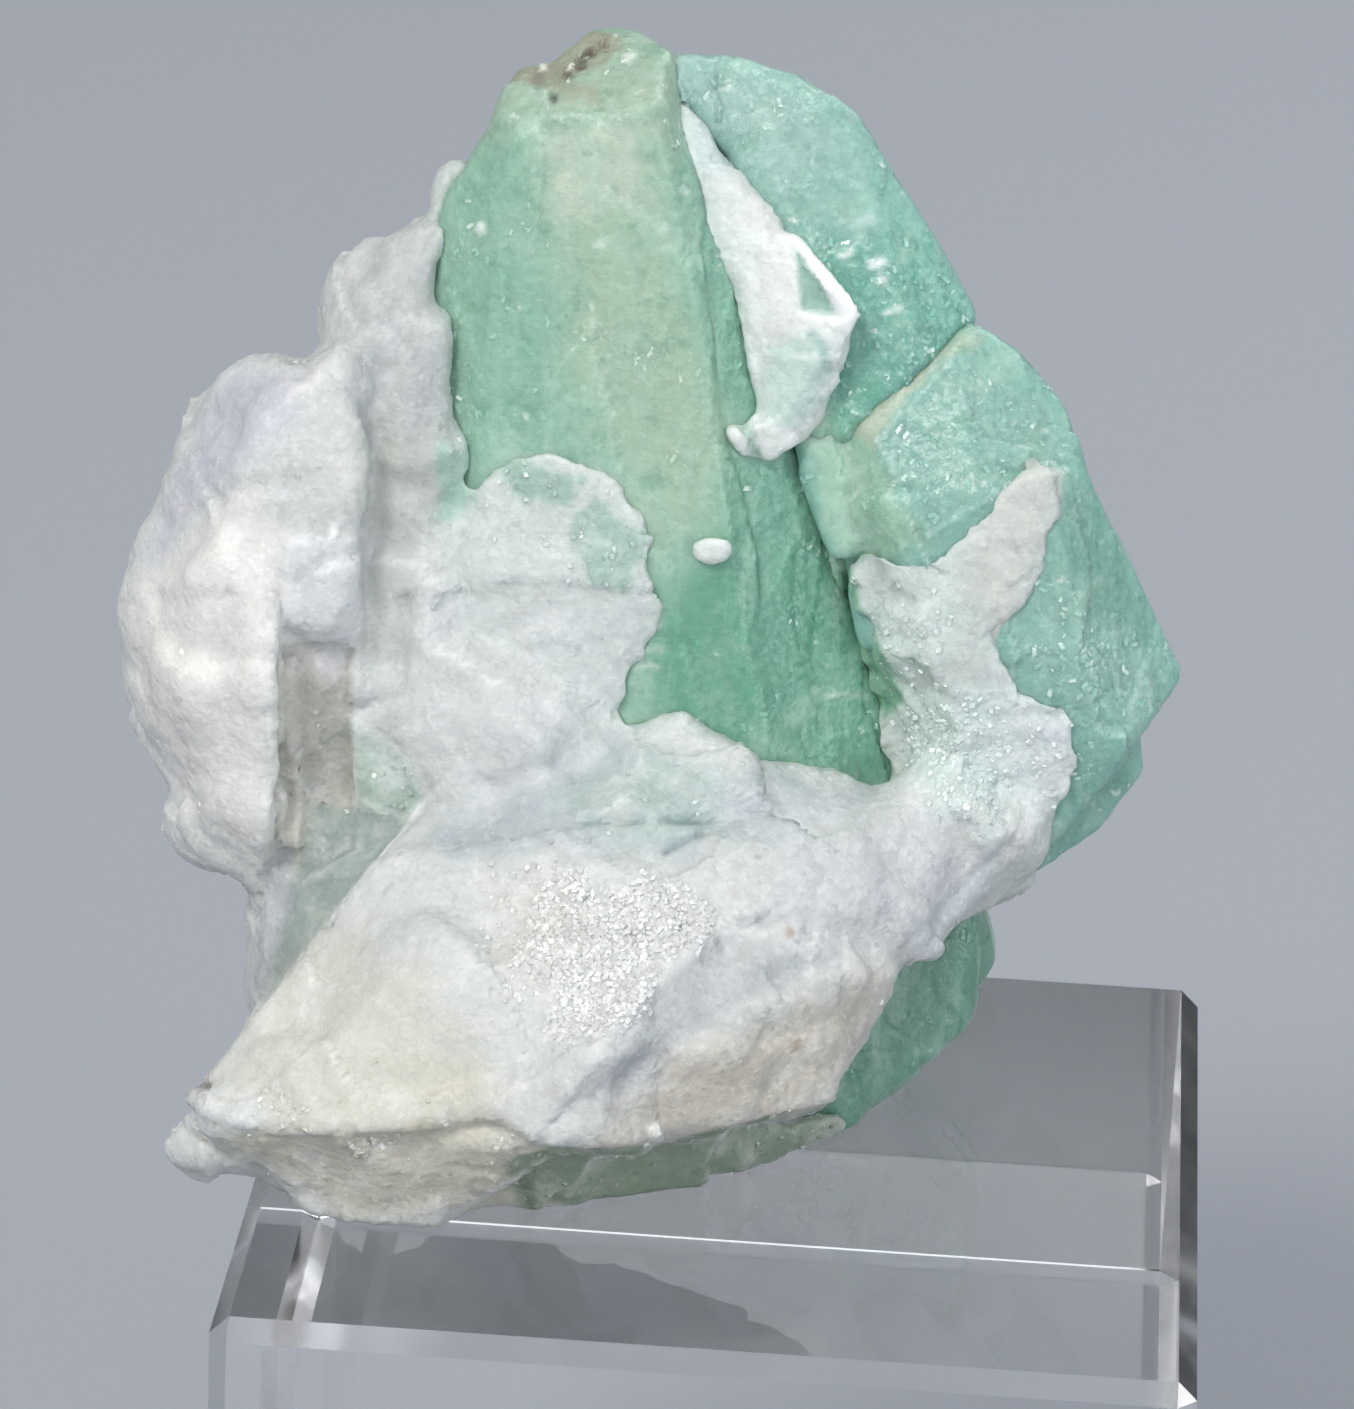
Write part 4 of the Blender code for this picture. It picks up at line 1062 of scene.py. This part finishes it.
MAIN_SPOTS = {
    "dark slit": Spot((554, 97), 6, "#3E342B", 0.9, -0.1),
    "grey patch": Spot((538, 80), 7, "#8A837A", 0.8),
    "dark spot": Spot((580, 64), 7, "#4C392C", 0.85, -0.08),
    "second dark spot": Spot((590, 52), 6, "#54443A", 0.8, -0.05),
    "third dark spot": Spot((567, 76), 5, "#4C392C", 0.7),
    "fourth dark spot": Spot((602, 46), 5, "#6A5A4C", 0.6),
    "glint of the stain": Spot((543, 67), 4, "#F4F2EA", 0.9, 0.08),
    "second glint": Spot((570, 67), 3.5, "#F4F2EA", 0.9, 0.08),
    "top glint": Spot((629, 57), 6, "#EEF6F0", 0.8, 0.08),
    "olive spot": Spot((588, 153), 4, "#7F8F6C", 0.7),
    "left glint": Spot((482, 229), 6, "#F4FAF6", 0.9, 0.08),
    "right glint": Spot((684, 190), 5, "#E4F2EA", 0.8, 0.05),
    "edge glint": Spot((665, 227), 5, "#E4F2EA", 0.7, 0.05),
    "middle glint": Spot((600, 246), 5, "#DDEEE2", 0.7, 0.05),
    "pale spot": Spot((600, 130), 10, "#DDE6D2", 0.6),
    "left pale spot": Spot((560, 180), 7, "#DDE6D2", 0.5),
}

SLIVER_AREAS = {
    "mint top": Area(((680, 100), (702, 112), (736, 160), (725, 175), (690, 170)), "#BFD3D0", 0.7, feather=8),
    "clear middle": Area(
        ((796, 250), (808, 262), (840, 320), (802, 314)), "#94BBAA", 0.95, feather=3, ragged=1, raised=-0.16,
    ),
    "clear foot": Area(
        ((768, 350), (806, 332), (838, 345), (822, 400), (795, 430), (765, 420)), "#B8D3C9", 0.75, feather=12,
    ),
    "white blade": Area(
        ((794, 237), (810, 248), (842, 287), (861, 318), (851, 338), (838, 318), (804, 256)), "#F1F5F4", 0.8,
        feather=4, ragged=1,
    ),
}

UPPER_AREAS = {
    "pale top": Area(((670, 60), (760, 70), (850, 130), (790, 200), (700, 110)), "#B4CFC8", 0.5, feather=26),
    "green corner": Area(
        ((796, 385), (880, 375), (872, 460), (800, 460)), "#8DBC9D", 0.9, feather=8,
    ),
    "deep foot": Area(
        ((800, 240), (930, 240), (980, 340), (900, 400), (840, 440), (820, 400)), "#6FB2A0", 0.75, sugar=0.4,
    ),
    "right flank": Area(((850, 130), (905, 200), (975, 330), (940, 330), (870, 210)), "#93CCBC", 0.6, feather=12),
}

UPPER_MARKS = {
    "upper fleck": Mark(((842, 256), (850, 253)), 0.05, 4, colour="#F4FAF8"),
    "right fleck": Mark(((872, 265), (882, 262)), 0.06, 5, colour="#FFFFFF"),
    "small fleck": Mark(((880, 279), (883, 280)), 0.05, 4, colour="#FFFFFF"),
    "long fleck": Mark(((884, 314), (900, 308)), 0.04, 3, colour="#E8F4F0"),
    "pale veil": Mark(((858, 224), (870, 218)), 0.03, 6, colour="#C6E0DA"),
}

SIDE_AREAS = {
    "white under the arm": Area(
        ((930, 570), (960, 560), (1040, 465), (1066, 470), (1060, 510), (1010, 600), (990, 660), (900, 680)),
        "#CDD2CA", 1.0, feather=3, ragged=3,
    ),
    "yellow corner": Area(((800, 415), (850, 425), (930, 534), (870, 565), (838, 560)), "#A9CBB2", 0.8, feather=12),
    "diamond": Area(
        ((877, 441), (951, 363), (1050, 400), (1070, 460), (929, 534)), "#8FB9AE", 0.6, feather=6, ragged=6, sugar=0.3,
    ),
    "right flank": Area(((1050, 560), (1170, 670), (1100, 740), (1010, 650)), "#9FC9BD", 0.75, sugar=0.4),
    "upper right flank": Area(((1040, 510), (1100, 500), (1130, 600), (1060, 630)), "#7CB0A1", 0.7),
    "pale ridge": Area(
        ((970, 330), (920, 345), (850, 430), (870, 440), (930, 370), (985, 340)), "#BCC5AC", 0.75, feather=8,
    ),
    "heel": Area(((1044, 850), (1131, 740), (1135, 790), (1050, 880)), "#84B3A6", 0.8),
}

SIDE_MARKS = {
    "left edge of the diamond": Mark(((877, 441), (951, 363)), 0.07, 4),
    "lower edge of the diamond": Mark(((877, 441), (929, 534)), 0.07, 4),
    "right edge of the diamond": Mark(((929, 534), (1072, 450)), 0.07, 4),
}


@dataclass
class Mineral:
    """One lump of rock or one crystal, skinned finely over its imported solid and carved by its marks."""

    node: str
    name: str
    slot: str
    base: str
    grain: float
    grow: float
    soften: int
    # rim and rim_share: the pale colour laid on convex edges, partly the whitish wear of chipped edges and partly a
    # painted highlight.
    rim: str
    rim_share: float
    facet_size: float
    facet_tilt: float
    facet_step: float = 0.0
    stretch: tuple[float, float, float] = (1.0, 1.0, 1.0)
    swell: float = 0.1
    rag: float = 0.0
    sprinkle: float = 0.05
    marks: dict[str, Mark] = field(default_factory=dict)
    areas: dict[str, Area] = field(default_factory=dict)
    spots: dict[str, Spot] = field(default_factory=dict)
    lumps: tuple[Lump, ...] = ()
    nudges: tuple[Nudge, ...] = ()
    made: bpy.types.Object = field(init=False, default=None)

    def texture(self, skin: Skin) -> np.ndarray:
        """Gives the natural relief of the whole skin, in millimetres."""
        return (
            self.swell * wander(skin.points, 3.2, 3.0)
            + facets(skin.points, self.facet_size, self.facet_tilt, self.facet_step, self.stretch)
            + facets(skin.points, self.facet_size * 0.4, self.facet_tilt * 0.3, 0.0, self.stretch)
            + facets(skin.points, self.facet_size * 0.17, self.facet_tilt * 0.2, 0.0, self.stretch)
        )

    def build(self, finish: bpy.types.Material, beneath: BVHTree | None = None) -> bpy.types.Object:
        """Skins, carves and colours the piece.

        Args:
            finish: the piece's material.
            beneath: the crystals that show faintly through a thin crust, in millimetres.

        Returns:
            The finished object.
        """
        self.made = fine_skin(
            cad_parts[self.node], self.lumps, self.name, self.grain, self.grow, self.soften,
        )
        skin = Skin(self.made.data)
        for nudge in self.nudges:
            skin.points += nudge.move(skin.points)
        calm, thin = self.press_thin(skin, beneath)
        skin.points += self.ragged_rim(skin) * (0.3 + 0.6 * thin)[:, None]
        skin.move(self.texture(skin) * (1.0 - calm))
        where = EYE.pixels(skin.points)
        seen = EYE.sees(skin.points, skin.normals, skin.tree())
        skin.paint(linear(self.base), np.ones(len(skin.points)))
        if beneath:
            self.show_through(skin, beneath)
        lift = sum((mark.lift(where) for mark in self.marks.values()), np.zeros(len(skin.points)))
        # Area colours include painted light and shade (sunlit and sky-shaded sides, shaded hollows, recesses and
        # undersides, a darkened bright edge) besides the stone's own colours.
        for area in self.areas.values():
            share = area.share(where, skin.points) * seen
            lift += area.lift(skin.points) * share
            skin.sugar = np.maximum(skin.sugar, area.sugar * share)
            if area.colour:
                skin.paint(linear(area.colour), area.strength * share)
        # Mark colours are painted along their lines: painted shade in some cracks, creases and gaps, a painted glint on
        # some edges, elsewhere the stone's own streaks and flecks.
        for mark in self.marks.values():
            if mark.colour:
                far, _ = line_distance(where, mark.line)
                skin.paint(linear(mark.colour), 0.8 * np.exp(-(far / mark.width) ** 2) * seen)
        # Spots paint stains and crumbs, painted shade in a pit, and painted glints.
        for spot in self.spots.values():
            far = np.hypot(*(where - np.array(spot.middle)).T) + 3.0 * wander(skin.points, 0.4, 2.0)
            share = smooth(spot.radius * 1.4, spot.radius * 0.5, far) * seen
            lift += spot.raised * share
            skin.paint(linear(spot.colour), spot.strength * share)
        crumbly = 0.09 * skin.sugar * facets(skin.points, 0.5, 1.0, 0.6)
        skin.move(lift * seen + crumbly)
        # Pale colour on convex edges: partly the whitish wear of chipped edges, partly a painted highlight along them.
        bulge = skin.bulge()
        edge = smooth(0.25, 1.0, bulge / (3.0 * float(np.std(bulge))))
        skin.paint(linear(self.rim), self.rim_share * edge * (0.6 + 0.4 * wander(skin.points, 0.9, 13.0)))
        skin.sugar = np.maximum(skin.sugar, self.sprinkle * smooth(0.0, 0.5, wander(skin.points, 2.0, 41.0)))
        settle(skin)
        keep_inside(skin)
        skin.write()
        skin.store()
        self.made.data.materials.clear()
        self.made.data.materials.append(finish)
        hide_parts(self.node)
        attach(self.made, ROOT)
        LOG.info("%s: %d faces", self.name, len(self.made.data.polygons))
        return self.made

    def ragged_rim(self, skin: Skin) -> np.ndarray:
        """Gives moves across the picture that make the piece's rims uneven, in millimetres."""
        right, up, _ = (np.array(axis) for axis in EYE.axes())
        sideways, upwards = (
            self.rag * (wander(skin.points, 0.8, shift) + 0.6 * wander(skin.points, 0.36, shift + 7.0))
            for shift in (51.0, 77.0)
        )
        return sideways[:, None] * right + upwards[:, None] * up

    def press_thin(self, skin: Skin, beneath: BVHTree | None) -> tuple[np.ndarray, np.ndarray]:
        """Brings a thin crust close to the crystal that it lies on.

        Returns:
            How much calmer than the rest the skin is at each point, and how much it is such a crust.
        """
        where = EYE.pixels(skin.points)
        calm = np.zeros(len(skin.points))
        thin = np.zeros(len(skin.points))
        for area in self.areas.values():
            share = area.share(where, skin.points)
            calm = np.maximum(calm, area.calm * share)
            if area.thin:
                thin = np.maximum(thin, share)
                for number in np.flatnonzero(share > 0.01):
                    place = Vector(skin.points[number])
                    ground, _, _, far = beneath.find_nearest(place)
                    near = area.thin * (1.0 - math.exp(-far / area.thin)) / max(far, 1e-6)
                    skin.points[number] = place.lerp(ground + (place - ground) * near, share[number])
        skin.write()
        skin.read()
        return calm, thin

    def show_through(self, skin: Skin, beneath: BVHTree) -> None:
        """Lets the green of a crystal show through where the rock is a thin crust over it."""
        near = (beneath.find_nearest(Vector(point))[3] for point in skin.points.tolist())
        far = np.fromiter(near, float, len(skin.points))
        skin.paint(linear("#B0CABF"), 0.7 * np.exp(-far / 0.6))


def minerals() -> tuple[Mineral, ...]:
    """Describes the rock, its sliver and the three emeralds, the rock first."""
    return (
        Mineral(
            "matrix", "white_rock", "calcite", "#CBCFCD", grain=0.23, grow=0.2, soften=2, rim="#E4E7E6",
            rim_share=0.35, facet_size=3.6, facet_tilt=0.22, facet_step=0.05, stretch=(1.0, 1.0, 1.5),
            swell=0.07, rag=0.24, nudges=ROCK_NUDGES, marks=ROCK_MARKS, areas=LEFT_MASS | CRUST | FRONT_MASS | SIDE_CRUST | SEAM_AREAS,
            spots=ROCK_SPOTS, lumps=ROCK_LUMPS,
        ),
        Mineral(
            "matrix_sliver", "white_sliver", "calcite", "#E2E6E3", grain=0.13, grow=0.1, soften=2, rim="#EEF2F1",
            rim_share=0.4, facet_size=2.4, facet_tilt=0.12, facet_step=0.02, rag=0.1, marks=SLIVER_MARKS,
            areas=SLIVER_AREAS, lumps=SLIVER_LUMPS, nudges=SLIVER_NUDGES,
        ),
        Mineral(
            "emerald_main_crystal", "main_emerald", "beryl", "#99C3AE", grain=0.17, grow=0.3, soften=12,
            rim="#C8DFD2", rim_share=0.1, facet_size=2.6, facet_tilt=0.12, facet_step=0.03,
            stretch=(0.7, 0.7, 3.0), swell=0.08, marks=MAIN_MARKS, areas=MAIN_AREAS, spots=MAIN_SPOTS,
            nudges=MAIN_NUDGES, sprinkle=0.25,
        ),
        Mineral(
            "emerald_upper_crystal", "upper_emerald", "beryl", "#94BFB4", grain=0.14, grow=0.3, soften=3,
            rim="#DCEFE6", rim_share=0.35, facet_size=2.4, facet_tilt=0.12, facet_step=0.03,
            stretch=(0.8, 0.8, 2.0), swell=0.08, areas=UPPER_AREAS, marks=UPPER_MARKS,
            lumps=UPPER_LUMPS, sprinkle=0.3,
        ),
        Mineral(
            "emerald_side_crystal", "side_emerald", "beryl", "#8DBDB0", grain=0.15, grow=0.3, soften=3,
            rim="#DCEFE6", rim_share=0.35, facet_size=2.8, facet_tilt=0.12, facet_step=0.03,
            stretch=(0.8, 0.8, 2.0), swell=0.08, marks=SIDE_MARKS, areas=SIDE_AREAS, lumps=SIDE_LUMPS,
            sprinkle=0.3,
        ),
    )


FLAKE = (1.0, 0.55, 0.16)
FLAKE_LEAN = 0.12


@dataclass
class LooseGrains:
    """Small clean grains that stand on a piece where it is sugary, each a leaning rhomb half sunk in it.

    Sizes are millimetres, and the density is grains to the square metre. The shape is a share of the size.
    """

    name: str
    slot: str
    ground: str
    density: float
    smallest: float
    largest: float
    seed: int
    shape: tuple[float, float, float] = (1.0, 0.9, 0.55)
    lean: float = 0.5
    crowding: float = 1.6

    def tree(self, finish: bpy.types.Material) -> bpy.types.NodeTree:
        """Makes the node tree that strews the grains."""
        made = bpy.data.node_groups.new(self.name, "GeometryNodeTree")
        face = made.interface
        face.new_socket("Geometry", in_out="INPUT", socket_type="NodeSocketGeometry")
        for name in ("Density", "Smallest", "Largest"):
            face.new_socket(name, in_out="INPUT", socket_type="NodeSocketFloat")
        face.new_socket("Seed", in_out="INPUT", socket_type="NodeSocketInt")
        face.new_socket("Geometry", in_out="OUTPUT", socket_type="NodeSocketGeometry")
        given = put(made, "NodeGroupInput").outputs
        sugar = put(made, "GeometryNodeInputNamedAttribute", {"Name": "sugar"}, data_type="FLOAT")
        share = put(made, "ShaderNodeMath", {0: sugar.outputs[0], 1: self.crowding}, operation="POWER")
        much = put(made, "ShaderNodeMath", {0: share.outputs[0], 1: given["Density"]}, operation="MULTIPLY")
        points = put(
            made, "GeometryNodeDistributePointsOnFaces",
            {"Mesh": given["Geometry"], "Density": much.outputs[0], "Seed": given["Seed"]},
        )
        cube = put(made, "GeometryNodeMeshCube", {"Size": self.shape})
        split = put(made, "ShaderNodeSeparateXYZ", {0: put(made, "GeometryNodeInputPosition").outputs[0]})
        lean = put(made, "ShaderNodeCombineXYZ", {0: split.outputs["Z"], 1: split.outputs["X"]})
        lean = put(made, "ShaderNodeVectorMath", {0: lean.outputs[0], "Scale": 0.27}, operation="SCALE")
        rhomb = put(made, "GeometryNodeSetPosition", {"Geometry": cube.outputs["Mesh"], "Offset": lean.outputs[0]})
        turn = put(
            made, "FunctionNodeRandomValue",
            {0: (-self.lean, -self.lean, 0.0), 1: (self.lean, self.lean, math.tau), "Seed": given["Seed"]},
            data_type="FLOAT_VECTOR",
        )
        turn = put(
            made, "FunctionNodeRotateRotation",
            {"Rotation": points.outputs["Rotation"], "Rotate By": turn.outputs[0]}, rotation_space="LOCAL",
        )
        wide = put(
            made, "FunctionNodeRandomValue", {2: given["Smallest"], 3: given["Largest"], "Seed": given["Seed"]},
            data_type="FLOAT",
        )
        strewn = put(
            made, "GeometryNodeInstanceOnPoints",
            {
                "Points": points.outputs["Points"], "Instance": rhomb.outputs[0],
                "Rotation": turn.outputs[0], "Scale": wide.outputs[1],
            },
        )
        real = put(made, "GeometryNodeRealizeInstances", {"Geometry": strewn.outputs[0]})
        coloured = put(made, "GeometryNodeSetMaterial", {"Geometry": real.outputs[0], "Material": finish})
        put(made, "NodeGroupOutput", {0: coloured.outputs[0]})
        return made

    def build(self, ground: bpy.types.Object, finish: bpy.types.Material) -> bpy.types.Object:
        """Strews the grains on a finished piece.

        Args:
            ground: the piece that they stand on.
            finish: the grains' material.

        Returns:
            The grains as one plain mesh.
        """
        made = bpy.data.objects.new(self.name, ground.data.copy())
        bpy.context.scene.collection.objects.link(made)
        tree = self.tree(finish)
        strew = made.modifiers.new("grains", "NODES")
        strew.node_group = tree
        values = {
            "Density": self.density, "Smallest": self.smallest * MM, "Largest": self.largest * MM, "Seed": self.seed,
        }
        for item in tree.interface.items_tree:
            if item.in_out == "INPUT" and item.name in values:
                strew[item.identifier] = values[item.name]
        bpy.context.view_layer.update()
        plain = bpy.data.meshes.new_from_object(made.evaluated_get(bpy.context.evaluated_depsgraph_get()))
        made.modifiers.clear()
        made.data = plain
        plain.name = self.name
        low, high = (np.array(corner) for corner in CAD_BOX)
        flat = np.empty(len(plain.vertices) * 3)
        plain.vertices.foreach_get("co", flat)
        plain.vertices.foreach_set("co", np.clip(flat.reshape(-1, 3), low, high).ravel())
        plain.shade_flat()
        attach(made, ROOT)
        LOG.info("%s: %d faces", self.name, len(plain.polygons))
        return made


@dataclass
class DisplayBlock:
    """The clear cube with its broken edges."""

    side: float = BLOCK_SIDE
    chamfer: float = 0.63

    def build(self) -> bpy.types.Object:
        """Makes the cube."""
        half = self.side / 2 * MM
        shape = bmesh.new()
        bmesh.ops.create_cube(shape, size=self.side * MM)
        bmesh.ops.translate(shape, vec=(0.0, 0.0, half), verts=shape.verts)
        result = bmesh.ops.bevel(
            shape, geom=shape.edges[:], offset=self.chamfer * MM, offset_type="OFFSET", segments=1, affect="EDGES",
        )
        for face in result["faces"]:
            face.material_index = 1
        mesh = bpy.data.meshes.new("clear_cube")
        shape.to_mesh(mesh)
        shape.free()
        mesh.materials.append(ACRYLIC.make())
        mesh.materials.append(SAWN_EDGE.make())
        made = bpy.data.objects.new("clear_cube", mesh)
        bpy.context.scene.collection.objects.link(made)
        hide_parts("display_block")
        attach(made, ROOT)
        LOG.info("clear_cube: %d faces", len(mesh.polygons))
        return made


@dataclass(frozen=True)
class Lamp:
    """One soft light. Places and sizes are in millimetres."""

    name: str
    place: tuple[float, float, float]
    width: float
    height: float
    power: float
    colour: str

    def build(self, aim: Vector) -> bpy.types.Object:
        """Makes the light, turned to the aim."""
        light = bpy.data.lights.new(self.name, "AREA")
        light.shape = "RECTANGLE"
        light.size = self.width * MM
        light.size_y = self.height * MM
        light.energy = self.power
        light.color = linear(self.colour)
        made = bpy.data.objects.new(self.name, light)
        made.location = Vector(self.place) * MM
        made.rotation_euler = (aim * MM - made.location).to_track_quat("-Z", "Y").to_euler()
        bpy.context.scene.collection.objects.link(made)
        return made


@dataclass
class Studio:
    """A plain pale floor, soft lamps and a sky that is brightest high on the left in front."""

    aim: Vector = field(default_factory=lambda: Vector((0.0, 0.0, 45.0)))
    floor_side: float = 4000.0
    floor_drop: float = 0.05
    sky_bright: tuple[float, float, float] = (-0.2, -0.72, 0.66)
    lamps: tuple[Lamp, ...] = (
        Lamp("key light", (-190.0, -400.0, 500.0), 130.0, 130.0, 2.1, "#FFFAF4"),
        Lamp("fill light", (420.0, -380.0, 120.0), 260.0, 260.0, 1.0, "#F6F8FF"),
        Lamp("rim light", (260.0, 300.0, 420.0), 200.0, 200.0, 0.9, "#FFFFFF"),
    )

    def sky(self) -> None:
        """Makes the sky: an even pale dome with one broad bright patch."""
        world = bpy.data.worlds.new("sky")
        world.use_nodes = True
        tree = world.node_tree
        way = put(tree, "ShaderNodeTexCoord").outputs["Generated"]
        near = put(tree, "ShaderNodeVectorMath", {0: way, 1: self.sky_bright}, operation="DOT_PRODUCT")
        patch = put(
            tree, "ShaderNodeMapRange",
            {"Value": near.outputs["Value"], "From Min": 0.6, "From Max": 0.95, "To Min": 0.36, "To Max": 1.35},
            interpolation_type="SMOOTHSTEP",
        )
        back = tree.nodes["Background"]
        back.inputs["Color"].default_value = (*linear("#EEF1F6"), 1.0)
        tree.links.new(patch.outputs[0], back.inputs["Strength"])
        bpy.context.scene.world = world

    def build(self) -> None:
        """Makes the floor, the lamps, the sky and the camera."""
        shape = bmesh.new()
        bmesh.ops.create_grid(shape, x_segments=1, y_segments=1, size=self.floor_side / 2 * MM)
        mesh = bpy.data.meshes.new("floor")
        shape.to_mesh(mesh)
        shape.free()
        paper = bpy.data.materials.new("matt grey paper")
        paper.use_nodes = True
        shader = paper.node_tree.nodes["Principled BSDF"]
        shader.inputs["Base Color"].default_value = (*linear("#A2A7AF"), 1.0)
        shader.inputs["Roughness"].default_value = 0.8
        mesh.materials.append(paper)
        floor = bpy.data.objects.new("floor", mesh)
        floor.location.z = -self.floor_drop * MM
        bpy.context.scene.collection.objects.link(floor)
        for lamp in self.lamps:
            lamp.build(self.aim)
        self.sky()
        bpy.context.scene.view_settings.view_transform = "Standard"
        EYE.camera()


def crystal_tree() -> BVHTree:
    """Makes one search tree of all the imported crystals, in millimetres."""
    verts: list[Vector] = []
    faces: list[tuple[int, ...]] = []
    for name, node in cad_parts.items():
        if name.startswith("emerald"):
            start = len(verts)
            verts.extend(vert.co / MM for vert in node.data.vertices)
            faces.extend(tuple(start + i for i in face.vertices) for face in node.data.polygons)
    return BVHTree.FromPolygons(verts, faces)


def main() -> None:
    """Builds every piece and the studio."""
    logging.basicConfig(level=logging.INFO, format="%(name)s %(message)s")
    finishes = {"calcite": CALCITE.make(), "beryl": BERYL.make()}
    beneath = crystal_tree()
    made = {}
    for piece in minerals():
        made[piece.name] = piece.build(finishes[piece.slot], beneath if piece.slot == "calcite" else None)
    grains = CLEAN_GRAINS.make()
    chips = CLEAN_CHIPS.make()
    for layer in (
        LooseGrains("rock_grains", "calcite", "white_rock", 42.0e6, 0.06, 0.2, 3),
        LooseGrains("main_chips", "beryl", "main_emerald", 24.0e6, 0.06, 0.3, 5, FLAKE, FLAKE_LEAN),
        LooseGrains("upper_chips", "beryl", "upper_emerald", 26.0e6, 0.06, 0.3, 7, FLAKE, FLAKE_LEAN),
        LooseGrains("side_chips", "beryl", "side_emerald", 26.0e6, 0.06, 0.3, 9, FLAKE, FLAKE_LEAN),
    ):
        layer.build(made[layer.ground], grains if layer.slot == "calcite" else chips)
    DisplayBlock().build()
    Studio().build()


if __name__ == "__main__":
    main()
